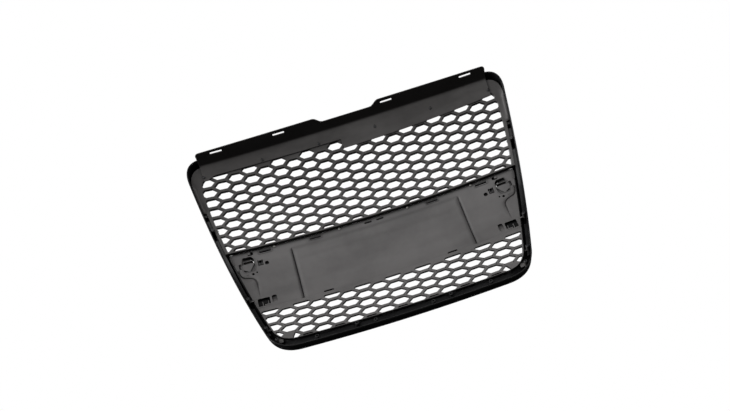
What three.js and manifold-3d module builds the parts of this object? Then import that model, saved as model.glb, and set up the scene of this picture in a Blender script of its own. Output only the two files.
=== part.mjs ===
// Front grille of a large passenger car, seen as a kit of mouldings and screws.
// Millimetres, +Z up, the grille faces -Y, +X is the car's left-hand side.
// The origin is the middle of the flat seat for the number plate.
import * as THREE from 'three';
import { mergeGeometries, mergeVertices } from 'three/addons/utils/BufferGeometryUtils.js';
import Module from 'manifold-3d';

const wasm = await Module();
wasm.setup();

// ---- Driving dimensions ----

// The whole grille lies on one gently domed surface: bowed in plan, and bowed in side view
// about the height of the nose. Heights in this file are taken from the design plane z = 0.
const PLAN_RADIUS = 2105;
const PROFILE_RADIUS = 532;
const NOSE_Z = 29;

// Outline of the surround: half width at z = 0, how much it leans, and how much it bows.
const SIDE_HALF = 357.3;
const SIDE_LEAN = 0.2364;
const SIDE_BOW = 0.000256;
const TOP_Z = 307.6;
const TOP_CROWN = 0.0000886;
const BOTTOM_Z = -229;
const BOTTOM_CROWN = 0.00001;
const TOP_CORNER_RADIUS = 46;
const BOTTOM_CORNER_RADIUS = 52;

// Honeycomb lattice: flat-topped hexagons, odd columns shifted by half a row.
const CELL_PITCH_X = 36.2;
const CELL_PITCH_Z = 23.86;
const CELL_FLAT_HALF = 9.2;
const CELL_TIP_HALF = 20.9;
const CELL_HALF_HEIGHT = 8.8;
const UPPER_FIRST_ROW_Z = 80;
const LOWER_FIRST_ROW_Z = -110.2;

// Depths are measured from the domed surface, positive towards the engine.
const MESH_FRONT = -4.1;
const MESH_REAR = 4.1;
const PANEL_FRONT = -5.8;
const PANEL_REAR = -3;
const BORDER_REAR = -1.5;
const FIT_GAP = 0.5;

// Surround section.
const FRAME_FRONT = -19;
const FRAME_REAR = 18;
const FRAME_WALL = 2.8;
const FRAME_FACE = 12;
const FRAME_TOP_FACE = 30;
const FRAME_BOTTOM_FACE = 31.5;

// Along both sides a shelf closes the channel of the surround, with windows for snap hooks.
// Below SHELF_TOP the mesh mouldings stop at BORDER_INSET, beside this shelf.
const SHELF_TOP = 176;
const SHELF_BOTTOM = -176;
const SHELF_FRONT = -4.9;
const SHELF_REAR = -1.2;
const SHELF_INSET = 9.6;
const BORDER_INSET = 10.2;
const SHELF_WINDOWS = [
  { from: -91, to: -76 },
  { from: 108, to: 124 },
  { from: 160, to: 170 },
];

// Cell fields stop at these distances from the outline.
const BORDER_SIDE_HALF = 341;
const BORDER_SIDE_LEAN = 0.243;
const BORDER_SIDE_BOW = 0.00038;
const UPPER_FIELD_TOP = 269.5;
const UPPER_FIELD_CROWN = 0.000075;
const UPPER_FIELD_BOTTOM = 70;
const LOWER_FIELD_TOP = -101;
const LOWER_FIELD_BOTTOM = -200;

// Joint between the two mesh mouldings.
const UPPER_BAR_BOTTOM = 64.5;
const UPPER_BAR_REAR = 8;
const PANEL_TOP = 64;
const LOWER_EDGE_Z = -202;

// Top rail: an upright leg behind the mesh and a ledge that rises rearwards, with four slots.
const LEG_FRONT = 4.6;
const LEG_REAR = 7;
const LEG_FOOT_RIGHT = 246.5;
const LEG_FOOT_LEFT = 268.5;
const LEDGE_UNDERSIDE = 297.5;
const LEDGE_THICKNESS = 2.7;
const LEDGE_HALF = 366;
const LEDGE_CORNER = 10;
const LEDGE_DEPTH = 49.2;
const LEDGE_TAPER = 0.000035;
const LEDGE_RISE = 0.268;
const SLOT_LENGTH = 29;
const SLOT_WIDTH = 6.6;
const SLOTS = [
  { x: 316, fromEdge: 10.5 },
  { x: 159.5, fromEdge: 12 },
  { x: -115.7, fromEdge: 12 },
  { x: -316.5, fromEdge: 10.5 },
];
const PAD_LENGTH = 44;
const PAD_FRONT_MARGIN = 11.2;
const PAD_REAR_MARGIN = 4.2;
const PAD_HEIGHT = 2.6;
const NOTCH_LEFT = 70;
const NOTCH_RIGHT = -96;
const NOTCH_DEPTH = 15.3;
const NOTCH_SHOULDER = 22;

// Number-plate cover.
const SEAT_Z = -19;
const SEAT_Y = -17;
const SEAT_HALF_WIDTH = 262;
const SEAT_HALF_HEIGHT = 57;
const COVER_FRONT = -12.5;
const COVER_REAR = -6.3;
const COVER_WALL = 2.5;
const COVER_TOP = 66;
const COVER_BOTTOM = -95;
const COVER_INSET = 17.5;

// Parking-sensor stations.
const SENSOR_X = 315;
const SENSOR_Z = 34;
const SENSOR_BORE = 12;
const HOLDER_FRONT = -9.4;
const HOLDER_REAR = -6.3;
const CAP_FRONT = -14;
const CAP_REAR = -9.8;

// Screws: head radius, head height, shank radius, shank length, socket radius.
const SCREW_SIDES = 8;
const SIDE_SCREW = { head: 4.2, height: 2.4, shank: 2, length: 18, socket: 1.6 };
const PANEL_SCREW = { head: 3.2, height: 2.2, shank: 1.6, length: 6.5, socket: 1.2 };
const RAIL_SCREW = { head: 3, height: 1.8, shank: 1.4, length: 9, socket: 1 };
const SIDE_SCREW_HEIGHTS = [132, -69.5, -161];
const CORNER_SCREW = { x: 286.3, z: -200.3 };
const SIDE_SCREW_INSET = 6.3;
const COLLAR_RADIUS = 4.3;
const COLLAR_REAR = 11.5;
const PANEL_SCREWS_X = [86, 247];
const PANEL_SCREW_Z = 61;
const RAIL_SCREWS = [
  { x: 73, z: 275 },
  { x: 217.2, z: 272 },
  { x: 364, z: 262 },
];
const BOSS_RADIUS = 4.5;
const BUMPER_BORE = 1.6;
const BUMPER_BOSS_REAR = 4;
const BUMPER_BOSSES = [
  { x: 66.5, z: -214.5 },
  { x: 108.5, z: -209 },
  { x: 200, z: -213.5 },
];

// ---- Materials ----

const glossBlack = () => new THREE.MeshStandardMaterial({ color: 0x121213, roughness: 0.16 });
const satinBlack = () => new THREE.MeshStandardMaterial({ color: 0x2b2a29, roughness: 0.45 });
const mattBlack = () => new THREE.MeshStandardMaterial({ color: 0x38373a, roughness: 0.6 });
const zincSteel = () =>
  new THREE.MeshStandardMaterial({ color: 0x6d6d6b, roughness: 0.4, metalness: 0.9 });
const blackSteel = () =>
  new THREE.MeshStandardMaterial({ color: 0x1b1b1c, roughness: 0.4, metalness: 0.9 });

// ---- The domed surface and the outline ----

function domeY(x, z) {
  return x ** 2 / (2 * PLAN_RADIUS) + (z - NOSE_Z) ** 2 / (2 * PROFILE_RADIUS);
}

// Plates are built on this grid of flat facets, so that neighbouring plates keep an even gap.
const GRID_X = 2 * CELL_PITCH_X;
const GRID_Z = 2 * CELL_PITCH_Z;
const GRID_COLUMNS = 12;
const GRID_ROWS = 14;

// The faceted surface: the dome joined by straight lines between the grid points.
function surfaceY(x, z) {
  const column = Math.floor(x / GRID_X);
  const row = Math.floor((z - UPPER_FIRST_ROW_Z) / GRID_Z);
  const alongX = x / GRID_X - column;
  const alongZ = (z - UPPER_FIRST_ROW_Z) / GRID_Z - row;
  const x0 = column * GRID_X;
  const z0 = UPPER_FIRST_ROW_Z + row * GRID_Z;
  const corner = domeY(x0, z0);
  const stepX = domeY(x0 + GRID_X, z0) - corner;
  const stepZ = domeY(x0, z0 + GRID_Z) - corner;
  return corner + alongX * stepX + alongZ * stepZ;
}

function normalAt(x, z) {
  return new THREE.Vector3(-x / PLAN_RADIUS, 1, -(z - NOSE_Z) / PROFILE_RADIUS).normalize();
}

// Turns something that stands along +Y so that it stands square to the surface at x, z.
function squareTo(x, z) {
  return new THREE.Quaternion().setFromUnitVectors(new THREE.Vector3(0, 1, 0), normalAt(x, z));
}

function sideX(z) {
  return SIDE_HALF + SIDE_LEAN * z - SIDE_BOW * z ** 2;
}

function topZ(x) {
  return TOP_Z - TOP_CROWN * x ** 2;
}

function bottomZ(x) {
  return BOTTOM_Z + BOTTOM_CROWN * x ** 2;
}

function fieldSideX(z) {
  return BORDER_SIDE_HALF + BORDER_SIDE_LEAN * z - BORDER_SIDE_BOW * z ** 2;
}

// Points along one curve, given as a function of x or of z.
function sampled(from, to, steps, point) {
  const points = [];
  for (let i = 0; i <= steps; i += 1) {
    points.push(point(from + ((to - from) * i) / steps));
  }
  return points;
}

// A closed loop, symmetric about x = 0, between a bottom curve, a side curve and a top curve,
// with its corners rounded. The side curve gives the half width at each height.
function domedLoop({ side, top, bottom, topRadius, bottomRadius }) {
  const corner = (edge, start) => {
    let z = start;
    for (let i = 0; i < 8; i += 1) {
      z = edge(side(z));
    }
    return new THREE.Vector2(side(z), z);
  };
  const high = corner(top, TOP_Z);
  const low = corner(bottom, BOTTOM_Z);
  const shape = new THREE.Shape();
  const lowStart = low.x - bottomRadius;
  const highStart = high.x - topRadius;
  shape.moveTo(0, bottom(0));
  sampled(lowStart / 2, lowStart, 1, (x) => new THREE.Vector2(x, bottom(x)))
    .forEach((p) => shape.lineTo(p.x, p.y));
  shape.quadraticCurveTo(low.x, low.y, side(low.y + bottomRadius), low.y + bottomRadius);
  sampled(low.y + bottomRadius, high.y - topRadius, 6, (z) => new THREE.Vector2(side(z), z))
    .slice(1)
    .forEach((p) => shape.lineTo(p.x, p.y));
  shape.quadraticCurveTo(high.x, high.y, highStart, top(highStart));
  sampled(highStart, 0, 4, (x) => new THREE.Vector2(x, top(x)))
    .slice(1)
    .forEach((p) => shape.lineTo(p.x, p.y));
  const half = shape.getPoints(4);
  const mirrored = half.slice(1, -1).reverse().map((p) => new THREE.Vector2(-p.x, p.y));
  return new THREE.Shape([...half, ...mirrored]);
}

// The outline of the surround, moved inwards by one distance at the sides and bottom and by
// another at the top.
function outline(inset, topInset = inset, bottomInset = inset) {
  return domedLoop({
    side: (z) => sideX(z) - inset,
    top: (x) => topZ(x) - topInset,
    bottom: (x) => bottomZ(x) + bottomInset,
    topRadius: Math.max(TOP_CORNER_RADIUS - inset / 2, 8),
    bottomRadius: Math.max(BOTTOM_CORNER_RADIUS - inset / 2, 8),
  });
}

function rectangle(x0, x1, z0, z1) {
  return new THREE.Shape([
    new THREE.Vector2(x0, z0),
    new THREE.Vector2(x1, z0),
    new THREE.Vector2(x1, z1),
    new THREE.Vector2(x0, z1),
  ]);
}

function disc(x, z, radius) {
  const shape = new THREE.Shape();
  shape.absarc(x, z, radius, 0, 2 * Math.PI);
  return shape;
}

// ---- Solids ----

function solid(geometry) {
  const bare = geometry.index ? geometry.toNonIndexed() : geometry.clone();
  bare.deleteAttribute('normal');
  bare.deleteAttribute('uv');
  const merged = mergeVertices(bare, 1e-4);
  return new wasm.Manifold(
    new wasm.Mesh({
      numProp: 3,
      vertProperties: Float32Array.from(merged.attributes.position.array),
      triVerts: Uint32Array.from(merged.index.array),
    }),
  );
}

function geometryOf(body) {
  const mesh = body.getMesh();
  const geometry = new THREE.BufferGeometry();
  geometry.setAttribute('position', new THREE.BufferAttribute(mesh.vertProperties, 3));
  geometry.setIndex(new THREE.BufferAttribute(mesh.triVerts, 1));
  geometry.computeVertexNormals();
  return geometry;
}

// A shape drawn in x and z, run straight through the grille from y0 to y1.
function prismGeometry(shape, y0 = -120, y1 = 240, curveSegments = 4) {
  const geometry = new THREE.ExtrudeGeometry(shape, {
    depth: y1 - y0,
    bevelEnabled: false,
    curveSegments,
  });
  return geometry.rotateX(Math.PI / 2).translate(0, y1, 0);
}

function prism(shape, y0, y1, curveSegments) {
  return solid(prismGeometry(shape, y0, y1, curveSegments));
}

// A plate between two depths that follows the faceted surface.
function plate(front, rear) {
  const geometry = new THREE.BoxGeometry(
    GRID_COLUMNS * GRID_X, rear - front, GRID_ROWS * GRID_Z, GRID_COLUMNS, 1, GRID_ROWS);
  geometry.translate(0, (front + rear) / 2, UPPER_FIRST_ROW_Z - GRID_Z);
  const position = geometry.attributes.position;
  for (let i = 0; i < position.count; i += 1) {
    position.setY(i, position.getY(i) + surfaceY(position.getX(i), position.getZ(i)));
  }
  return solid(geometry);
}

// A plate cut to a shape.
function cutPlate(shape, front, rear) {
  return plate(front, rear).intersect(prism(shape));
}

// A round post square to the surface, between two depths.
function post(x, z, radius, front, rear, segments = SCREW_SIDES) {
  const geometry = new THREE.CylinderGeometry(radius, radius, rear - front, segments);
  geometry.translate(0, (front + rear) / 2, 0).applyQuaternion(squareTo(x, z));
  return solid(geometry.translate(x, surfaceY(x, z), z));
}

function block(x, z, width, height, front, rear) {
  const geometry = new THREE.BoxGeometry(width, rear - front, height);
  return solid(geometry.translate(x, surfaceY(x, z) + (front + rear) / 2, z));
}

function joined(bodies) {
  return bodies.reduce((sum, body) => sum.add(body));
}

function mirroredPair(make, x) {
  return [make(x), make(-x)];
}

// ---- Honeycomb ----

function cellShape() {
  return new THREE.Shape([
    new THREE.Vector2(-CELL_TIP_HALF, 0),
    new THREE.Vector2(-CELL_FLAT_HALF, -CELL_HALF_HEIGHT),
    new THREE.Vector2(CELL_FLAT_HALF, -CELL_HALF_HEIGHT),
    new THREE.Vector2(CELL_TIP_HALF, 0),
    new THREE.Vector2(CELL_FLAT_HALF, CELL_HALF_HEIGHT),
    new THREE.Vector2(-CELL_FLAT_HALF, CELL_HALF_HEIGHT),
  ]);
}

// Openings on the lattice whose row zero of the even columns lies at firstZ.
function cells(columns, firstZ, rows) {
  const openings = [];
  const cell = prismGeometry(cellShape(), -15, 15);
  for (let column = -columns; column <= columns; column += 1) {
    const shift = column % 2 === 0 ? 0 : 0.5;
    for (let row = rows.from; row <= rows.to; row += 1) {
      const x = column * CELL_PITCH_X;
      const z = firstZ + (row + shift) * CELL_PITCH_Z;
      openings.push(cell.clone().translate(x, surfaceY(x, z), z));
    }
  }
  return solid(mergeGeometries(openings));
}

// ---- Surround ----

function surroundFrame() {
  const body = cutPlate(outline(0), FRAME_FRONT, FRAME_REAR);
  const seat = cutPlate(outline(FRAME_WALL), MESH_FRONT - FIT_GAP, FRAME_REAR + 20);
  const lip = outline(
    FRAME_FACE - FRAME_WALL, FRAME_TOP_FACE - FRAME_WALL, FRAME_BOTTOM_FACE - FRAME_WALL);
  const channel = cutPlate(outline(FRAME_WALL), FRAME_FRONT + FRAME_WALL, MESH_FRONT)
    .subtract(prism(lip));
  const opening = prism(outline(FRAME_FACE, FRAME_TOP_FACE, FRAME_BOTTOM_FACE));
  const railWindow = cutPlate(
    rectangle(-LEDGE_HALF - 1.5, LEDGE_HALF + 1.5, 275, 400), MESH_REAR - 1, 120);
  const bossTop = MESH_FRONT - FIT_GAP;
  const bosses = [sideShelf()];
  const bores = [];
  for (const { x, z } of sideScrewPlaces()) {
    bosses.push(post(x, z, BOSS_RADIUS, FRAME_FRONT + 1, bossTop)
      .intersect(prism(outline(0.8))));
    bores.push(post(x, z, COLLAR_RADIUS + 0.4, bossTop, FRAME_REAR + 9));
    bores.push(post(x, z, SIDE_SCREW.shank + 0.4, FRAME_FRONT + 3, bossTop + 3));
    bores.push(cutPlate(neckShape(x, z, FIT_GAP), bossTop, FRAME_REAR)
      .intersect(prism(outline(FRAME_WALL))));
  }
  for (const { x, z } of bumperBossPlaces()) {
    bosses.push(post(x, z, BOSS_RADIUS, FRAME_FRONT + 1, BUMPER_BOSS_REAR));
    bores.push(post(x, z, BUMPER_BORE, BUMPER_BOSS_REAR - 9, BUMPER_BOSS_REAR + 3));
  }
  const shell = body.subtract(seat).subtract(channel).subtract(opening).subtract(railWindow);
  return joined([shell, ...bosses]).subtract(joined(bores));
}

function sideShelf() {
  const ring = cutPlate(outline(FRAME_WALL - 0.3), SHELF_FRONT, SHELF_REAR)
    .subtract(prism(outline(SHELF_INSET)))
    .intersect(prism(rectangle(-450, 450, SHELF_BOTTOM, SHELF_TOP)));
  const windows = SHELF_WINDOWS.map(({ from, to }) => prism(rectangle(-450, 450, from, to)));
  return ring.subtract(joined(windows).intersect(prism(outline(FRAME_WALL))));
}

// ---- Upper mesh ----

function upperField() {
  return domedLoop({
    side: fieldSideX,
    top: (x) => UPPER_FIELD_TOP - UPPER_FIELD_CROWN * x ** 2,
    bottom: () => UPPER_FIELD_BOTTOM,
    topRadius: 34,
    bottomRadius: 2,
  });
}

function lowerField() {
  return domedLoop({
    side: fieldSideX,
    top: () => LOWER_FIELD_TOP,
    bottom: () => LOWER_FIELD_BOTTOM,
    topRadius: 2,
    bottomRadius: 34,
  });
}

function upperMesh() {
  const edge = FRAME_WALL + FIT_GAP;
  const wide = cutPlate(outline(edge, TOP_Z - LEDGE_UNDERSIDE + FIT_GAP), MESH_FRONT, MESH_REAR)
    .intersect(prism(rectangle(-450, 450, SHELF_TOP + FIT_GAP, 400)));
  const narrow = cutPlate(outline(BORDER_INSET), MESH_FRONT, MESH_REAR)
    .intersect(prism(rectangle(-450, 450, UPPER_BAR_BOTTOM, SHELF_TOP + 2)));
  const bar = cutPlate(outline(BORDER_INSET), MESH_FRONT, UPPER_BAR_REAR)
    .intersect(prism(rectangle(-450, 450, UPPER_BAR_BOTTOM, UPPER_BAR_BOTTOM + 3)));
  const field = prism(upperField());
  const openings = cells(10, UPPER_FIRST_ROW_Z, { from: -1, to: 7 }).intersect(field);
  const lugs = PANEL_SCREWS_X.flatMap((x) =>
    mirroredPair((at) => lug(at), x));
  let body = joined([wide, narrow, bar]).subtract(openings);
  body = withCollars(joined([body, ...lugs]), (z) => z > PANEL_TOP);
  for (const { x, z } of railScrewPlaces()) {
    body = body.subtract(post(x, z, RAIL_SCREW.shank + 0.3, -3, 20));
  }
  return body;
}

// The short tie from a screw collar to the border beside it.
function neckShape(x, z, clearance) {
  const inner = x - Math.sign(x) * (9 + clearance);
  const reach = z === CORNER_SCREW.z ? 9 : 2.5;
  return rectangle(
    Math.min(x, inner), Math.max(x, inner), z - 2.5 - clearance, z + reach + clearance);
}

// Adds the tall screw collars of one moulding, each standing beside its border.
function withCollars(body, belongs) {
  const places = sideScrewPlaces().filter(({ z }) => belongs(z));
  const collars = places.map(({ x, z }) => (
    post(x, z, COLLAR_RADIUS, MESH_FRONT, COLLAR_REAR * normalAt(x, z).y)));
  const necks = places.map(({ x, z }) => (
    cutPlate(neckShape(x, z, 0), MESH_FRONT, BORDER_REAR)
      .subtract(prism(z > 0 ? upperField() : lowerField()))));
  const bores = places.map(({ x, z }) => post(x, z, SIDE_SCREW.shank + 0.4, -20, 30));
  return joined([body, ...collars, ...necks]).subtract(joined(bores));
}

// A tongue that hangs from the bottom bar in front of the panel and takes one screw.
function lug(x) {
  const z = PANEL_SCREW_Z;
  const tongue = cutPlate(
    rectangle(x - 7, x + 7, z - 8, UPPER_BAR_BOTTOM + 4), PANEL_FRONT - 3, PANEL_FRONT - FIT_GAP);
  const root = cutPlate(
    rectangle(x - 7, x + 7, UPPER_BAR_BOTTOM, UPPER_BAR_BOTTOM + 4), PANEL_FRONT - 3, 0);
  return tongue.add(root).subtract(post(x, z, PANEL_SCREW.shank + 0.3, -30, 30));
}

// ---- Lower insert: number-plate panel and lower honeycomb in one moulding ----

function lowerInsert() {
  const side = outline(BORDER_INSET, BORDER_INSET, LOWER_EDGE_Z - BOTTOM_Z);
  const panelHeight = prism(rectangle(-450, 450, LOWER_FIELD_TOP - 2, PANEL_TOP));
  const meshHeight = prism(rectangle(-450, 450, -300, LOWER_FIELD_TOP + 3));
  const panel = cutPlate(outline(FRAME_FACE + FIT_GAP), PANEL_FRONT, PANEL_REAR)
    .intersect(panelHeight);
  const border = cutPlate(side, MESH_FRONT, BORDER_REAR)
    .intersect(panelHeight)
    .subtract(prism(outline(FRAME_FACE + 1)));
  const mesh = cutPlate(side, MESH_FRONT, MESH_REAR).intersect(meshHeight);
  const field = prism(lowerField());
  const openings = cells(8, LOWER_FIRST_ROW_Z, { from: -4, to: 0 }).intersect(field);
  let body = joined([panel, border, mesh]).subtract(openings);
  for (const cut of panelCuts()) {
    body = body.subtract(cut);
  }
  return withCollars(body, (z) => z < PANEL_TOP);
}

// Clip slots, pockets and holes of the panel, the same on both sides of the middle.
function panelCuts() {
  const cuts = [];
  for (const slot of clipSlots()) {
    cuts.push(block(slot.x, slot.z, slot.width, slot.height, -20, 20));
  }
  for (const sign of [-1, 1]) {
    cuts.push(post(sign * 273, 26, 4.5, -20, 20));
    cuts.push(prism(sensorWindow(sign)));
    for (const x of PANEL_SCREWS_X) {
      cuts.push(post(sign * x, PANEL_SCREW_Z, PANEL_SCREW.shank + 0.3, -20, 20));
    }
  }
  return cuts;
}

// The many-sided window behind a sensor station.
function sensorWindow(sign) {
  const corners = [
    [-14, -20], [11, -19], [15, -8], [14, 12], [8, 19], [-12, 19], [-16, 8], [-17, -6],
  ];
  return new THREE.Shape(
    corners.map(([x, z]) => new THREE.Vector2(sign * (SENSOR_X - x), SENSOR_Z - 3 + z)));
}

function clipSlots() {
  const slots = [];
  for (const sign of [-1, 1]) {
    slots.push({ x: sign * 147.5, z: 56.5, width: 28, height: 4 });
    slots.push({ x: sign * 15, z: 56.5, width: 18, height: 4 });
    slots.push({ x: sign * 271, z: 56.5, width: 28, height: 6 });
    slots.push({ x: sign * 150, z: -92, width: 23, height: 3.5 });
    slots.push({ x: sign * 299, z: -77, width: 29, height: 22 });
    slots.push({ x: sign * 275, z: -75, width: 12, height: 20 });
  }
  return slots;
}

// ---- Top rail ----

function ledgeZ(x) {
  return LEDGE_UNDERSIDE - TOP_CROWN * x ** 2;
}

// The underside of the ledge starts at this depth, where it meets the leg.
function ledgeFrontY(x) {
  return surfaceY(x, ledgeZ(x)) + LEG_FRONT;
}

function ledgeRearY(x) {
  return ledgeFrontY(x) - LEG_FRONT + LEDGE_DEPTH - LEDGE_TAPER * x ** 2;
}

function topRail() {
  const legOutline = prism(outline(FRAME_WALL + 4, TOP_Z - LEDGE_UNDERSIDE - 1));
  const leg = plate(LEG_FRONT, LEG_REAR)
    .intersect(legOutline)
    .intersect(prism(legShape()))
    .intersect(prism(rectangle(-LEDGE_HALF - 10, LEDGE_HALF + 10, 200, 400)));
  let body = leg.add(ledge());
  for (const { x, z } of railScrewPlaces()) {
    body = body.subtract(post(x, z, RAIL_SCREW.shank + 0.3, -3, 20));
  }
  return body;
}

// The leg hangs lower on the right, where its edge is straight, than on the left, where it
// follows the crown of the mesh.
function legShape() {
  const crowned = (x) => new THREE.Vector2(x, LEG_FOOT_LEFT - UPPER_FIELD_CROWN * x * x);
  return new THREE.Shape([
    new THREE.Vector2(-450, LEG_FOOT_RIGHT),
    new THREE.Vector2(14, LEG_FOOT_RIGHT),
    new THREE.Vector2(18, LEG_FOOT_LEFT),
    ...sampled(40, 380, 4, crowned),
    new THREE.Vector2(450, 250),
    new THREE.Vector2(450, 400),
    new THREE.Vector2(-450, 400),
  ]);
}

// Gives a level slab the slope and crown of the ledge.
function raised(geometry, crown) {
  const position = geometry.attributes.position;
  for (let i = 0; i < position.count; i += 1) {
    const x = position.getX(i);
    const rise = LEDGE_RISE * position.getY(i);
    position.setZ(i, position.getZ(i) + rise + crown(x));
  }
  return geometry;
}

function ledge() {
  const slab = new THREE.BoxGeometry(GRID_COLUMNS * GRID_X, 400, LEDGE_THICKNESS, GRID_COLUMNS);
  const underside = (x) => ledgeZ(x) - LEDGE_RISE * ledgeFrontY(x) + LEDGE_THICKNESS / 2;
  return joined([solid(raised(slab, underside)), ...SLOTS.map(slotPad)])
    .intersect(planPrism(ledgePlan()))
    .subtract(joined(SLOTS.map((slot) => planPrism(slotPlan(slot)))));
}

// A shape drawn in x and y, run straight up through the ledge.
function planPrism(shape) {
  const geometry = new THREE.ExtrudeGeometry(shape, {
    depth: 200,
    bevelEnabled: false,
    curveSegments: 4,
  });
  return solid(geometry.translate(0, 0, 230));
}

function ledgePlan() {
  const rearEdge = (x) => new THREE.Vector2(x, ledgeRearY(x));
  const frontEdge = (x) => new THREE.Vector2(x, ledgeFrontY(x));
  const notchY = ledgeRearY(0) - NOTCH_DEPTH;
  const cornerX = LEDGE_HALF - LEDGE_CORNER;
  const plan = new THREE.Shape(sampled(-LEDGE_HALF, LEDGE_HALF, 10, frontEdge));
  plan.lineTo(LEDGE_HALF, ledgeRearY(LEDGE_HALF) - LEDGE_CORNER);
  plan.quadraticCurveTo(
    LEDGE_HALF, ledgeRearY(LEDGE_HALF), cornerX, ledgeRearY(cornerX));
  sampled(cornerX, NOTCH_LEFT, 5, rearEdge).slice(1).forEach((p) => plan.lineTo(p.x, p.y));
  plan.bezierCurveTo(
    NOTCH_LEFT - NOTCH_SHOULDER / 2, ledgeRearY(NOTCH_LEFT),
    NOTCH_LEFT - NOTCH_SHOULDER / 2, notchY,
    NOTCH_LEFT - NOTCH_SHOULDER, notchY);
  plan.lineTo(NOTCH_RIGHT + NOTCH_SHOULDER, notchY);
  plan.bezierCurveTo(
    NOTCH_RIGHT + NOTCH_SHOULDER / 2, notchY,
    NOTCH_RIGHT + NOTCH_SHOULDER / 2, ledgeRearY(NOTCH_RIGHT),
    NOTCH_RIGHT, ledgeRearY(NOTCH_RIGHT));
  sampled(NOTCH_RIGHT, -cornerX, 5, rearEdge).slice(1).forEach((p) => plan.lineTo(p.x, p.y));
  plan.quadraticCurveTo(
    -LEDGE_HALF, ledgeRearY(LEDGE_HALF), -LEDGE_HALF, ledgeRearY(LEDGE_HALF) - LEDGE_CORNER);
  return plan;
}

function slotPlan({ x, fromEdge }) {
  const y = ledgeRearY(x) - fromEdge;
  return rectangle(x - SLOT_LENGTH / 2, x + SLOT_LENGTH / 2, y - SLOT_WIDTH / 2, y + SLOT_WIDTH / 2);
}

// A flat pad on top of the ledge round one slot, for a spring nut.
function slotPad({ x, fromEdge }) {
  const rear = ledgeRearY(x) - fromEdge + SLOT_WIDTH / 2 + PAD_REAR_MARGIN;
  const front = rear - PAD_REAR_MARGIN - SLOT_WIDTH - PAD_FRONT_MARGIN;
  const geometry = new THREE.BoxGeometry(PAD_LENGTH, rear - front, PAD_HEIGHT);
  geometry.translate(x, (front + rear) / 2, LEDGE_THICKNESS + PAD_HEIGHT / 2 - 1.4);
  const base = ledgeZ(x) - LEDGE_RISE * ledgeFrontY(x);
  return solid(raised(geometry, () => base));
}

// ---- Number-plate cover ----

function coverShape(inset) {
  return domedLoop({
    side: (z) => sideX(z) - COVER_INSET - inset,
    top: () => COVER_TOP - inset,
    bottom: () => COVER_BOTTOM + inset,
    topRadius: 8,
    bottomRadius: 8,
  });
}

function plateCover() {
  const behind = plate(COVER_REAR, 60);
  const seat = (inset) =>
    prism(rectangle(
      -SEAT_HALF_WIDTH + inset, SEAT_HALF_WIDTH - inset,
      SEAT_Z - SEAT_HALF_HEIGHT + inset, SEAT_Z + SEAT_HALF_HEIGHT - inset),
    SEAT_Y + inset, 60);
  const skin = cutPlate(coverShape(0), COVER_FRONT, COVER_REAR);
  const hollow = cutPlate(coverShape(COVER_WALL), COVER_FRONT + COVER_WALL, COVER_REAR + 1);
  let body = skin.add(seat(0).subtract(behind));
  body = body.subtract(hollow).subtract(seat(COVER_WALL));
  const hooks = clipSlots()
    .filter(({ height }) => height < 7)
    .map(({ x, z, width, height }) =>
      cutPlate(
        rectangle(x - width / 2 + 2, x + width / 2 - 2, z, z + height / 2 - 0.5),
        COVER_FRONT + 1, PANEL_REAR + 1));
  body = joined([body, ...hooks]);
  for (const sign of [-1, 1]) {
    body = body.subtract(post(sign * SENSOR_X, SENSOR_Z, SENSOR_BORE + 0.4, -40, 30, 16));
    for (const x of PANEL_SCREWS_X) {
      const notch = rectangle(sign * x - 9, sign * x + 9, PANEL_SCREW_Z - 9, COVER_TOP + 5);
      body = body.subtract(cutPlate(notch, PANEL_FRONT - 4, 10));
    }
  }
  return body;
}

// ---- Parking-sensor station ----

// A plate between the panel and the cover: its bowl shows in the panel's window.
function sensorHolder(x) {
  const sign = Math.sign(x);
  const frame = rectangle(x - 19, x + 19, SENSOR_Z - 25, SENSOR_Z + 18);
  const socket = rectangle(x - 9, x + 9, SENSOR_Z - 2, SENSOR_Z + 11);
  let body = cutPlate(frame, HOLDER_FRONT, HOLDER_REAR).subtract(prism(socket));
  for (const z of [SENSOR_Z - 3, SENSOR_Z + 4]) {
    const rib = rectangle(x - 10, x + 10, z - 0.8, z + 0.8);
    body = body.add(cutPlate(rib, HOLDER_FRONT, HOLDER_REAR + 2));
  }
  return body.add(cutPlate(
    rectangle(x - sign * 12 - 1, x - sign * 12 + 1, SENSOR_Z - 6, SENSOR_Z + 8),
    HOLDER_FRONT, HOLDER_REAR + 2));
}

function sensorCap(x) {
  return post(x, SENSOR_Z, SENSOR_BORE, CAP_FRONT, CAP_REAR, 16);
}

// ---- Screws ----

function sideScrewPlaces() {
  const places = SIDE_SCREW_HEIGHTS.map((z) => ({ x: sideX(z) - SIDE_SCREW_INSET, z }));
  places.push(CORNER_SCREW);
  return places.flatMap(({ x, z }) => [{ x, z }, { x: -x, z }]);
}

function bumperBossPlaces() {
  return BUMPER_BOSSES.flatMap(({ x, z }) => [{ x, z }, { x: -x, z }]);
}

function panelScrewPlaces() {
  return PANEL_SCREWS_X.flatMap((x) => [
    { x, z: PANEL_SCREW_Z },
    { x: -x, z: PANEL_SCREW_Z },
  ]);
}

function railScrewPlaces() {
  return RAIL_SCREWS.flatMap(({ x, z }) => [{ x, z }, { x: -x, z }]);
}

// A pan-head screw with a pointed tip and a conical socket in its head.
function screwGeometry({ head, height, shank, length, socket }) {
  const profile = [
    new THREE.Vector2(0, -length),
    new THREE.Vector2(shank, -length + 2),
    new THREE.Vector2(shank, 0),
    new THREE.Vector2(head, 0),
    new THREE.Vector2(head * 0.75, height),
    new THREE.Vector2(socket, height),
    new THREE.Vector2(0, height * 0.35),
  ];
  return new THREE.LatheGeometry(profile, SCREW_SIDES);
}

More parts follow.
